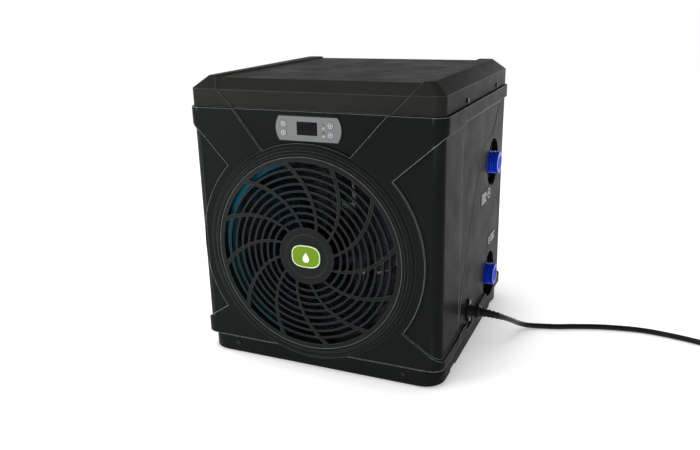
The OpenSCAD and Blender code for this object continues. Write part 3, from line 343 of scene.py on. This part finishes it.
class Look:
    """A node material built up step by step on one Principled shader."""

    def __init__(self, name, color, rough, metallic=0.0, coat=0.0, specular=0.5):
        self.material = bpy.data.materials.new(name)
        self.material.use_nodes = True
        self.nodes = self.material.node_tree.nodes
        self.links = self.material.node_tree.links
        self.shader = self.nodes["Principled BSDF"]
        self.shader.inputs["Base Color"].default_value = (*color, 1.0)
        self.shader.inputs["Roughness"].default_value = rough
        self.shader.inputs["Metallic"].default_value = metallic
        self.shader.inputs["Coat Weight"].default_value = coat
        self.shader.inputs["Specular IOR Level"].default_value = specular
        self.where = self.nodes.new("ShaderNodeTexCoord").outputs["Object"]
        self.height = None

    def noise(self, scale, detail=4.0, stretch=None):
        """Noise in the object's own metres; stretch multiplies the scale along each axis."""
        node = self.nodes.new("ShaderNodeTexNoise")
        node.inputs["Scale"].default_value = scale
        node.inputs["Detail"].default_value = detail
        where = self.where
        if stretch:
            mapping = self.nodes.new("ShaderNodeMapping")
            mapping.inputs["Scale"].default_value = stretch
            self.links.new(where, mapping.inputs["Vector"])
            where = mapping.outputs["Vector"]
        self.links.new(where, node.inputs["Vector"])
        return node.outputs["Fac"]

    def ranged(self, value, low, high, start=0.3, end=0.7):
        """Spreads a value between start and end over low to high."""
        node = self.nodes.new("ShaderNodeMapRange")
        node.inputs["From Min"].default_value = start
        node.inputs["From Max"].default_value = end
        node.inputs["To Min"].default_value = low
        node.inputs["To Max"].default_value = high
        self.links.new(value, node.inputs["Value"])
        return node.outputs["Result"]

    def tint(self, value, first, second, start=0.3, end=0.7):
        """Colours the surface between two colours by a value."""
        ramp = self.nodes.new("ShaderNodeValToRGB")
        ramp.color_ramp.elements[0].position = start
        ramp.color_ramp.elements[0].color = (*first, 1.0)
        ramp.color_ramp.elements[1].position = end
        ramp.color_ramp.elements[1].color = (*second, 1.0)
        self.links.new(value, ramp.inputs["Fac"])
        return ramp.outputs["Color"]

    def color_from(self, color):
        self.links.new(color, self.shader.inputs["Base Color"])

    def rough_from(self, value, low, high):
        self.links.new(self.ranged(value, low, high), self.shader.inputs["Roughness"])

    def bump(self, value, strength, distance):
        node = self.nodes.new("ShaderNodeBump")
        node.inputs["Strength"].default_value = strength
        node.inputs["Distance"].default_value = distance
        self.links.new(value, node.inputs["Height"])
        if self.height:
            self.links.new(self.height, node.inputs["Normal"])
        self.height = node.outputs["Normal"]
        self.links.new(self.height, self.shader.inputs["Normal"])

    def soft_edges(self, radius):
        """Rounds the shading of every edge; later bumps add to it."""
        node = self.nodes.new("ShaderNodeBevel")
        node.samples = 6
        node.inputs["Radius"].default_value = radius
        self.height = node.outputs["Normal"]

    def painted_edge_glints(self, color, glint_color):
        """Lightens the soft edges: a colour that stands in for the glints along them."""
        geometry = self.nodes.new("ShaderNodeNewGeometry")
        turned = self.nodes.new("ShaderNodeVectorMath")
        turned.operation = "DOT_PRODUCT"
        self.links.new(geometry.outputs["True Normal"], turned.inputs[0])
        self.links.new(self.height, turned.inputs[1])
        amount = self.ranged(turned.outputs["Value"], 1.0, 0.0, 0.8, 0.985)
        mix = self.nodes.new("ShaderNodeMix")
        mix.data_type = "RGBA"
        self.links.new(amount, mix.inputs["Factor"])
        self.links.new(color, mix.inputs["A"])
        mix.inputs["B"].default_value = (*glint_color, 1.0)
        return mix.outputs["Result"]


def scaled(color, factor):
    return tuple(min(1.0, channel * factor) for channel in color)


def plastic(name, color, rough, grain=900.0, blotch=0.12, coat=0.0, edge_glint=1.35, specular=0.1,
            edge=0.3):
    """Moulded plastic: spark-eroded grain, faint flow marks and soft edges, lightened by painted
    highlights.
    """
    look = Look(name, color, rough, coat=coat, specular=specular)
    look.soft_edges(edge * MM)
    cloud = look.noise(9.0, 5.0)
    tone = look.tint(cloud, scaled(color, 1 - blotch), scaled(color, 1 + blotch))
    # The lighter edges are painted highlights that stand in for glints on the rounded edges.
    look.color_from(look.painted_edge_glints(tone, scaled(color, edge_glint)))
    look.rough_from(look.noise(26.0, 6.0), rough - 0.05, rough + 0.06)
    look.bump(look.noise(grain, 2.0), 0.08, 0.25 * MM)
    look.bump(look.noise(6.0, 2.0), 0.05, 2 * MM)
    return look.material


def metal(name, color, rough, stretch=None, stain=0.15):
    """Metal with drawn or rolled streaks and faint staining."""
    look = Look(name, color, rough, metallic=1.0)
    streaks = look.noise(500.0, 3.0, stretch)
    stains = look.noise(18.0, 6.0)
    look.color_from(look.tint(stains, scaled(color, 1 - stain), scaled(color, 1 + stain * 0.4)))
    look.rough_from(streaks, rough - 0.08, rough + 0.1)
    look.bump(streaks, 0.1, 0.1 * MM)
    return look.material


def galvanised_steel(name):
    """Zinc-coated sheet with its spangle of crystal patches."""
    look = Look(name, (0.5, 0.52, 0.54), 0.42, metallic=1.0)
    cells = look.nodes.new("ShaderNodeTexVoronoi")
    cells.inputs["Scale"].default_value = 90.0
    look.links.new(look.where, cells.inputs["Vector"])
    grey = look.nodes.new("ShaderNodeRGBToBW")
    look.links.new(cells.outputs["Color"], grey.inputs["Color"])
    value = grey.outputs["Val"]
    look.color_from(look.tint(value, (0.38, 0.4, 0.42), (0.62, 0.64, 0.66), 0.1, 0.9))
    look.rough_from(value, 0.34, 0.52)
    look.bump(look.noise(300.0), 0.04, 0.1 * MM)
    return look.material


def painted(name, color, rough):
    """Sprayed enamel with orange peel and a faintly blotchy tone."""
    look = Look(name, color, rough, coat=0.25)
    look.color_from(look.tint(look.noise(12.0, 5.0), scaled(color, 0.8), scaled(color, 1.3)))
    look.rough_from(look.noise(40.0), rough - 0.05, rough + 0.08)
    look.bump(look.noise(420.0, 1.0), 0.06, 0.3 * MM)
    return look.material


def cord_sheath(name):
    """Extruded rubber sheath: a fine grain on the skin, dusty in patches."""
    look = Look(name, (0.012, 0.012, 0.012), 0.3, specular=0.15)
    look.color_from(look.tint(look.noise(30.0, 6.0), (0.005, 0.005, 0.005), (0.013, 0.013, 0.012)))
    look.rough_from(look.noise(60.0, 6.0), 0.22, 0.36)
    look.bump(look.noise(1400.0, 2.0), 0.08, 0.1 * MM)
    return look.material


def fin_coating(name):
    """Blue hydrophilic lacquer over thin aluminium fins."""
    look = Look(name, (0.05, 0.5, 0.7), 0.35, metallic=0.1)
    look.color_from(look.tint(look.noise(35.0, 5.0), (0.03, 0.42, 0.58), (0.07, 0.6, 0.8)))
    look.rough_from(look.noise(120.0), 0.28, 0.45)
    look.bump(look.noise(500.0, 2.0), 0.1, 0.2 * MM)
    return look.material


SHROUD_TINT_X = (-0.14, -0.03)


def shroud_film(name):
    """Dark duct plastic with a blue-green tint painted on the coil's side. The tint stands in for
    the fins, which the fan and the shroud hide from the front."""
    look = Look(name, (0.005, 0.006, 0.008), 0.35, specular=0.1)
    parts = look.nodes.new("ShaderNodeSeparateXYZ")
    look.links.new(look.where, parts.inputs["Vector"])
    side = look.ranged(parts.outputs["X"], 1.0, 0.0, *SHROUD_TINT_X)
    look.color_from(look.tint(side, (0.004, 0.005, 0.007), (0.012, 0.17, 0.27), 0.0, 0.8))
    look.rough_from(look.noise(40.0), 0.3, 0.42)
    look.bump(look.noise(700.0, 2.0), 0.06, 0.2 * MM)
    return look.material


def smoked_plastic(name, color, clear):
    """Plastic made partly see-through by choice, so that some of the inside shows past the fan."""
    material = plastic(name, color, 0.34, specular=0.06)
    material.node_tree.nodes["Principled BSDF"].inputs["Alpha"].default_value = 1 - clear
    return material


def lamp_lens(name, split_z):
    """Tinted lens: green above split_z and red below it."""
    look = Look(name, (0.05, 0.4, 0.08), 0.25, coat=0.5)
    parts = look.nodes.new("ShaderNodeSeparateXYZ")
    look.links.new(look.where, parts.inputs["Vector"])
    above = look.nodes.new("ShaderNodeMath")
    above.operation = "GREATER_THAN"
    look.links.new(parts.outputs["Z"], above.inputs[0])
    above.inputs[1].default_value = split_z
    look.color_from(look.tint(above.outputs["Value"], (0.16, 0.008, 0.01), (0.01, 0.13, 0.03),
                              0.0, 1.0))
    look.bump(look.noise(700.0, 1.0), 0.05, 0.1 * MM)
    return look.material


def circuit_board(name):
    """Green solder mask with the paler lines of the tracks under it."""
    look = Look(name, (0.01, 0.09, 0.035), 0.3, coat=0.4)
    tracks = look.nodes.new("ShaderNodeTexBrick")
    tracks.inputs["Scale"].default_value = 120.0
    tracks.inputs["Mortar Size"].default_value = 0.04
    tracks.inputs["Color1"].default_value = (0.008, 0.075, 0.03, 1.0)
    tracks.inputs["Color2"].default_value = (0.01, 0.09, 0.035, 1.0)
    tracks.inputs["Mortar"].default_value = (0.03, 0.2, 0.08, 1.0)
    look.links.new(look.where, tracks.inputs["Vector"])
    look.color_from(tracks.outputs["Color"])
    look.bump(tracks.outputs["Fac"], 0.1, 0.05 * MM)
    return look.material


def glass_window(name):
    """Smoked acrylic with faint wipe marks."""
    look = Look(name, (0.003, 0.003, 0.004), 0.12, specular=0.1)
    look.color_from(look.tint(look.noise(60.0, 5.0), (0.002, 0.002, 0.003), (0.004, 0.004, 0.005)))
    look.rough_from(look.noise(45.0, 5.0, (1.0, 1.0, 4.0)), 0.08, 0.2)
    look.bump(look.noise(800.0, 1.0), 0.01, 0.05 * MM)
    return look.material


LIGHTS_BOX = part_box("indicator_lights")
LIGHTS_MIDDLE = (LIGHTS_BOX[0][2] + LIGHTS_BOX[1][2]) / 2

# The edge factors below set how far painted highlights lighten each plastic's edges.
LOOKS = {
    "cabinet_black": plastic("cabinet_black", (0.0096, 0.0108, 0.0102), 0.34, blotch=0.1, edge_glint=34,
                             specular=0.015, edge=1.4),
    "lid_black": plastic("lid_black", (0.0225, 0.0238, 0.0214), 0.36, blotch=0.1, edge_glint=9,
                         specular=0.008, edge=1.4),
    "guard_black": plastic("guard_black", (0.0062, 0.007, 0.0068), 0.3, edge_glint=16,
                           specular=0.1, edge=0.8),
    "shroud_film": shroud_film("shroud_film"),
    "inner_plastic": plastic("inner_plastic", (0.03, 0.032, 0.034), 0.5),
    "fan_plastic": smoked_plastic("fan_plastic", (0.003, 0.004, 0.012), 0.3),
    "gland_black": plastic("gland_black", (0.009, 0.009, 0.009), 0.38),
    "tie_black": plastic("tie_black", (0.012, 0.012, 0.012), 0.5, grain=1500.0),
    "port_blue": plastic("port_blue", (0.003, 0.045, 0.68), 0.3, blotch=0.08, edge_glint=1.25, coat=0.15),
    "badge_green": plastic("badge_green", (0.14, 0.25, 0.008), 0.35, blotch=0.05, edge_glint=1.1),
    "panel_grey": plastic("panel_grey", (0.17, 0.175, 0.18), 0.42, blotch=0.05, edge_glint=1.2),
    "button_grey": plastic("button_grey", (0.17, 0.175, 0.18), 0.4, blotch=0.05, edge_glint=1.3),
    "capacitor_white": plastic("capacitor_white", (0.62, 0.63, 0.63), 0.4, blotch=0.04),
    "terminal_cream": plastic("terminal_cream", (0.62, 0.57, 0.45), 0.45, blotch=0.06),
    "label_film": plastic("label_film", (0.01, 0.011, 0.011), 0.34, grain=1500.0, blotch=0.06,
                          specular=0.015),
    "rubber_black": plastic("rubber_black", (0.011, 0.011, 0.011), 0.7, grain=400.0),
    "screw_black": metal("screw_black", (0.03, 0.03, 0.03), 0.42),
    "screw_steel": metal("screw_steel", (0.5, 0.5, 0.51), 0.32),
    "steel_bright": metal("steel_bright", (0.62, 0.62, 0.63), 0.25, (1.0, 12.0, 1.0)),
    "copper": metal("copper", (0.72, 0.35, 0.2), 0.3, (1.0, 1.0, 6.0), stain=0.3),
    "titanium": metal("titanium", (0.4, 0.39, 0.38), 0.36),
    "galvanised": galvanised_steel("galvanised"),
    "motor_paint": painted("motor_paint", (0.03, 0.032, 0.036), 0.35),
    "compressor_paint": painted("compressor_paint", (0.01, 0.01, 0.011), 0.25),
    "cord_black": cord_sheath("cord_black"),
    "fin_blue": fin_coating("fin_blue"),
    "indicator": lamp_lens("indicator", LIGHTS_MIDDLE),
    "board_green": circuit_board("board_green"),
    "display_black": glass_window("display_black"),
}
PRINT_WHITE = plastic("print_white", (0.62, 0.64, 0.64), 0.45, blotch=0.05)
EMBLEM_WHITE = plastic("emblem_white", (0.78, 0.82, 0.7), 0.35, blotch=0.03)


def dress(piece, material):
    """Puts one material on every slot of a piece."""
    if not piece.data.materials:
        piece.data.materials.append(material)
    for slot in piece.material_slots:
        slot.material = material


def dress_nodes():
    for entry in frame["record"]["subparts"]:
        dress(NODES[entry["node"]], LOOKS[entry["material_slot"]])


dress_nodes()
dress(NODES["fan_shroud"], LOOKS["shroud_film"])
for made in (cord, plug):
    dress(made, LOOKS["cord_black"])
dress(relief, LOOKS["gland_black"])
dress(plug_pins, LOOKS["steel_bright"])

# Edge radius in millimetres of each moulded or turned CAD piece
EDGE_RADII = {
    "front_shell": 0.8, "left_side_panel": 0.5, "rear_panel": 0.5,
    "top_lid": 1.0, "base_tray": 0.9, "fan_guard": 0.5, "guard_badge": 0.6, "fan_shroud": 0.5,
    "control_bezel": 0.35, "power_button": 0.3, "mode_button": 0.3, "up_button": 0.3,
    "down_button": 0.3, "inlet_port": 0.35, "outlet_port": 0.35, "inlet_plug": 0.5,
    "outlet_plug": 0.5, "cable_gland": 0.5, "gland_nut": 0.4, "rubber_feet": 0.6,
    "fan_motor": 0.6, "heat_exchanger": 0.6, "electrical_box": 0.5, "terminal_block": 0.3,
    "run_capacitor": 0.8, "coil_tie": 0.3, "terminal_cover": 0.5, "compressor": 0.6,
    "accumulator": 0.5, "filter_drier": 0.4, "lid_screws": 0.15, "shell_screws": 0.15,
    "gland_screws": 0.12, "display_window": 0.15,
}
for node, radius in EDGE_RADII.items():
    bevel_piece(NODES[node], radius * MM)

# ---- right side wall ---------------------------------------------------------------------


def make_right_wall():
    """The side wall and its port pockets as the one moulding they are."""
    parts = []
    for node in ("right_side_panel", "port_pockets"):
        copy = NODES[node].copy()
        copy.data = NODES[node].data.copy()
        copy.modifiers.clear()
        bpy.context.collection.objects.link(copy)
        parts.append(copy)
    wall, pockets = parts
    union = wall.modifiers.new("union", "BOOLEAN")
    union.operation = "UNION"
    union.solver = "EXACT"
    union.object = pockets
    bpy.context.view_layer.update()
    joined = wall.evaluated_get(bpy.context.evaluated_depsgraph_get())
    bm = bmesh.new()
    bm.from_mesh(joined.data)
    bmesh.ops.transform(bm, matrix=wall.matrix_world, verts=bm.verts)
    for copy in parts:
        bpy.data.objects.remove(copy)
    bmesh.ops.remove_doubles(bm, verts=bm.verts, dist=0.01 * MM)
    bmesh.ops.dissolve_limit(bm, angle_limit=math.radians(0.5), verts=bm.verts, edges=bm.edges)
    piece = add_mesh("right_wall", bm)
    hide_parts("right_side_panel", "port_pockets")
    dress(piece, LOOKS["cabinet_black"])
    bevel_piece(piece, 0.8 * MM)


make_right_wall()

# ---- details on the front ---------------------------------------------------------------


def middle(node):
    low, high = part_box(node)
    return (Vector(low) + Vector(high)) / 2


def make_badge_emblem():
    """White rim and a plain water drop on the badge."""
    low, high = (Vector(corner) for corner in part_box("guard_badge"))
    centre = (low + high) / 2
    at = (centre.x, centre.z)
    rx, rz = (high.x - low.x) / 2, (high.z - low.z) / 2
    front, back = low.y - 0.25 * MM, low.y + 0.2 * MM
    steps = 96

    def outline(less, y):
        points = []
        for i in range(steps):
            c, s = math.cos(math.tau * i / steps), math.sin(math.tau * i / steps)
            points.append((at[0] + (rx - less) * math.copysign(abs(c) ** 0.7, c), y,
                           at[1] + (rz - less) * math.copysign(abs(s) ** 0.7, s)))
        return points

    bm = bmesh.new()
    rings = [outline(less * MM, y) for less, y in ((0.5, back), (0.5, front), (1.7, front), (1.7, back))]
    add_loft(bm, rings + rings[:1], closed_ends=False)
    drop = []
    for i in range(40):
        turn = math.tau * i / 40
        pinch = (1 - math.sin(turn)) / 2
        drop.append((at[0] + 7.2 * MM * math.cos(turn) * pinch ** 0.62,
                     at[1] - 2.4 * MM + 8.4 * MM * (math.sin(turn) * 0.95 + 0.12)))
    add_plate(bm, drop, front, back)
    emblem = add_mesh("badge_emblem", bm)
    dress(emblem, EMBLEM_WHITE)


def make_panel_print():
    """Printed rings round the buttons and marks beside the lamps."""
    bm = bmesh.new()
    panel_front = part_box("control_bezel")[0][1]
    marks = {"power_button": "bar", "mode_button": "lines", "up_button": "up",
             "down_button": "down"}
    for node, mark in marks.items():
        low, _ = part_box(node)
        centre = middle(node)
        at = (centre.x, centre.z)
        piece = bmesh.new()
        front, back = low[1] - 0.12 * MM, low[1] + 0.1 * MM
        add_ring(piece, at, (3.7 * MM,) * 2, (3.1 * MM,) * 2, front, back)
        size = 1.5 * MM
        if mark in ("up", "down"):
            tip = size if mark == "up" else -size
            add_plate(piece, [(at[0] - size, at[1] - tip * 0.6), (at[0] + size, at[1] - tip * 0.6),
                              (at[0], at[1] + tip)], front, back)
        elif mark == "bar":
            add_ring(piece, at, (1.6 * MM,) * 2, (1.15 * MM,) * 2, front, back, steps=24)
            add_box(piece, (at[0] - 0.25 * MM, front, at[1]),
                    (at[0] + 0.25 * MM, back, at[1] + 2.2 * MM))
        else:
            for dz in (-1.1, 0, 1.1):
                add_box(piece, (at[0] - size, front, at[1] + (dz - 0.22) * MM),
                        (at[0] + size, back, at[1] + (dz + 0.22) * MM))
        made = add_mesh(node + "_mark", piece, body=node)
        dress(made, PRINT_WHITE)
    low, high = (Vector(corner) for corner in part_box("indicator_lights"))
    x = (low.x + high.x) / 2
    front, back = panel_front - 0.1 * MM, panel_front + 0.15 * MM
    for z in (low.z, high.z - 3 * MM):
        add_ring(bm, (x, z - 3.2 * MM), (1.6 * MM,) * 2, (1.1 * MM,) * 2, front, back, steps=24)
    made = add_mesh("lamp_marks", bm)
    dress(made, PRINT_WHITE)


def make_panel_frame():
    """Thin black ring that shows round the grey panel."""
    low, high = (Vector(corner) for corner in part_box("control_bezel"))
    centre = (low + high) / 2
    half_w, half_h = (high.x - low.x) / 2, (high.z - low.z) / 2
    bulge = 29 * MM

    def outline(grow):
        points = []
        for side in (1, -1):
            top = math.asin(min(1.0, (half_h + grow) / (bulge + grow)))
            for i in range(13):
                turn = top * (i / 6 - 1)
                x = side * (half_w - bulge + (bulge + grow) * math.cos(turn * side))
                z = (bulge + grow) * math.sin(turn) * side
                points.append((centre.x + x, centre.z + z))
        return points

    bm = bmesh.new()
    loops = []
    front, back = low.y + 1.0 * MM, low.y + 2.2 * MM
    for grow, y in ((1.6 * MM, back), (1.6 * MM, front), (-0.3 * MM, front), (-0.3 * MM, back)):
        loops.append([bm.verts.new((x, y, z)) for x, z in outline(grow)])
    join_loops(bm, loops)
    made = add_mesh("panel_black_ring", bm)
    dress(made, LOOKS["gland_black"])


make_badge_emblem()
make_panel_print()
make_panel_frame()

# ---- details on the side ----------------------------------------------------------------


def make_label_marks():
    """Printed marks on the two dark films: bars, a ring with an arrow and a ring with a triangle."""
    low, high = (Vector(corner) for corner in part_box("port_labels"))
    face = high.x
    bm = bmesh.new()

    def side_plate(points):
        add_loft(bm, [[(x, y, z) for y, z in points] for x in (face - 0.1 * MM, face + 0.1 * MM)])

    def bar(y0, y1, z, half=1.1 * MM):
        side_plate([(y0, z - half), (y1, z - half), (y1, z + half), (y0, z + half)])

    def ring(y, z, outer, inner, steps=36):
        for k in range(steps):
            a, b = math.tau * k / steps, math.tau * (k + 0.999) / steps
            side_plate([(y + r * math.cos(t), z + r * math.sin(t))
                        for r, t in ((inner, a), (outer, a), (outer, b), (inner, b))])

    top, left = high.z, low.y
    for row, length in enumerate((30, 36, 27, 33)):
        bar(left + 6 * MM, left + (6 + length) * MM, top - (6.5 + 4.7 * row) * MM)
    ring(left + 57 * MM, top - 13.5 * MM, 9.0 * MM, 7.2 * MM)
    at = (left + 57 * MM, top - 13.5 * MM)
    bar(at[0] - 4.5 * MM, at[0] + 1 * MM, at[1])
    side_plate([(at[0] + 0.8 * MM, at[1] - 3.2 * MM), (at[0] + 5.4 * MM, at[1]),
                (at[0] + 0.8 * MM, at[1] + 3.2 * MM)])
    bottom, right = low.z, high.y
    ring(right - 48 * MM, bottom + 11 * MM, 6.6 * MM, 5.0 * MM)
    side_plate([(right - 50.6 * MM, bottom + 9 * MM), (right - 45.4 * MM, bottom + 9 * MM),
                (right - 48 * MM, bottom + 14 * MM)])
    for row, length in enumerate((30, 24, 28)):
        bar(right - 36 * MM, right - (36 - length) * MM, bottom + (15.8 - 4.8 * row) * MM)
    made = add_mesh("label_marks", bm)
    dress(made, PRINT_WHITE)


make_label_marks()

# ---- evaporator -------------------------------------------------------------------------

FIN_PITCH = 2.1 * MM
FIN_T = 0.2 * MM
CORNER_R = 25 * MM
FIN_DEPTH = 22 * MM
FIN_LEAN = 0.12
FIN_SEED = 4
CORNER_FINS = 17


def make_fins():
    """The L-shaped stack of thin lacquered fins, at close pitch, with waved edges."""
    low, high = (Vector(corner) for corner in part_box("evaporator_fins"))
    bm = bmesh.new()
    rng = random.Random(FIN_SEED)

    def fin(origin, across, along):
        """One fin: across is its depth direction, along is the direction of its thickness."""
        lean = along * rng.uniform(-FIN_LEAN, FIN_LEAN) * MM
        corners = [origin, origin + across * FIN_DEPTH, origin + across * FIN_DEPTH + along * FIN_T,
                   origin + along * FIN_T]
        rings = []
        for k, z in enumerate((low.z, (low.z + high.z) / 2, high.z)):
            shift = lean if k == 1 else Vector((0, 0, 0))
            rings.append([(p.x + shift.x, p.y + shift.y, z) for p in corners])
        add_loft(bm, rings)

    x_axis, y_axis = Vector((1, 0, 0)), Vector((0, 1, 0))
    inner = FIN_DEPTH / 2
    pivot = Vector((low.x + inner + CORNER_R, high.y - inner - CORNER_R, 0))
    for i in range(int((pivot.y - low.y) / FIN_PITCH)):
        fin(Vector((low.x, low.y + i * FIN_PITCH, 0)), x_axis, y_axis)
    for i in range(int((high.x - pivot.x) / FIN_PITCH)):
        fin(Vector((pivot.x + i * FIN_PITCH, high.y, 0)), -y_axis, x_axis)
    for i in range(1, CORNER_FINS):
        turn = math.pi / 2 * i / CORNER_FINS
        out = Vector((-math.cos(turn), math.sin(turn), 0))
        fin(pivot + out * (CORNER_R + inner), -out, Vector((out.y, -out.x, 0)))
    fins = add_mesh("fin_stack", bm)
    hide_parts("evaporator_fins")
    dress(fins, LOOKS["fin_blue"])


make_fins()

# ---- floor and light --------------------------------------------------------------------


FLOOR_HALF = 300.0
SHADOW_REACH = 0.12
GLOW_NEAR, GLOW_FAR = 0.35, 0.72
HORIZON_Z, ROOM_Z = 0.04, 0.2


def make_floor():
    """White floor that glows, less near the object, which deepens the contact shadow."""
    bm = bmesh.new()
    bmesh.ops.create_grid(bm, x_segments=1, y_segments=1, size=FLOOR_HALF)
    mesh = bpy.data.meshes.new("floor")
    bm.to_mesh(mesh)
    bm.free()
    floor = bpy.data.objects.new("floor", mesh)
    bpy.context.collection.objects.link(floor)
    look = Look("floor_white", (0.9, 0.9, 0.9), 0.8, specular=0.2)
    look.shader.inputs["Emission Color"].default_value = (1.0, 1.0, 1.0, 1.0)
    near = look.nodes.new("ShaderNodeAmbientOcclusion")
    near.inputs["Distance"].default_value = SHADOW_REACH
    near.samples = 8
    glow = look.ranged(near.outputs["AO"], GLOW_NEAR, GLOW_FAR, 0.45, 1.0)
    look.links.new(glow, look.shader.inputs["Emission Strength"])
    look.color_from(look.tint(look.noise(3.0), (0.89, 0.89, 0.89), (0.92, 0.92, 0.92)))
    look.bump(look.noise(200.0), 0.02, 0.2 * MM)
    mesh.materials.append(look.material)


def add_area(name, at, aim, size, power, color=(1, 1, 1)):
    data = bpy.data.lights.new(name, "AREA")
    data.shape = "RECTANGLE"
    data.size, data.size_y = size
    data.energy = power
    data.color = color
    lamp = bpy.data.objects.new(name, data)
    bpy.context.collection.objects.link(lamp)
    lamp.location = at
    lamp.rotation_euler = (Vector(aim) - Vector(at)).to_track_quat("-Z", "Y").to_euler()


def make_world():
    """Even grey room light that turns white close to the horizon, where the floor ends."""
    world = bpy.data.worlds.new("studio")
    world.use_nodes = True
    nodes, links = world.node_tree.nodes, world.node_tree.links
    where = nodes.new("ShaderNodeTexCoord")
    parts = nodes.new("ShaderNodeSeparateXYZ")
    links.new(where.outputs["Generated"], parts.inputs["Vector"])
    ramp = nodes.new("ShaderNodeValToRGB")
    ramp.color_ramp.elements[0].position = HORIZON_Z
    ramp.color_ramp.elements[0].color = (1.0, 1.0, 1.0, 1.0)
    ramp.color_ramp.elements[1].position = ROOM_Z
    ramp.color_ramp.elements[1].color = (0.3, 0.3, 0.3, 1.0)
    links.new(parts.outputs["Z"], ramp.inputs["Fac"])
    links.new(ramp.outputs["Color"], nodes["Background"].inputs["Color"])
    bpy.context.scene.world = world


make_floor()
make_world()
add_area("key_left", (-1.0, -1.3, 0.55), (-0.1, -0.2, 0.25), (0.5, 0.9), 12)
add_area("side_left", (-2.0, 0.1, 0.9), (0, 0, 0.25), (0.4, 1.3), 6)
add_area("rear", (0.6, 2.1, 0.5), (0.0, 0.2, 0.25), (1.2, 0.5), 8)
add_area("top", (-0.3, -0.4, 1.9), (0, -0.1, 0.4), (1.4, 0.3), 11, (1.0, 0.99, 0.97))
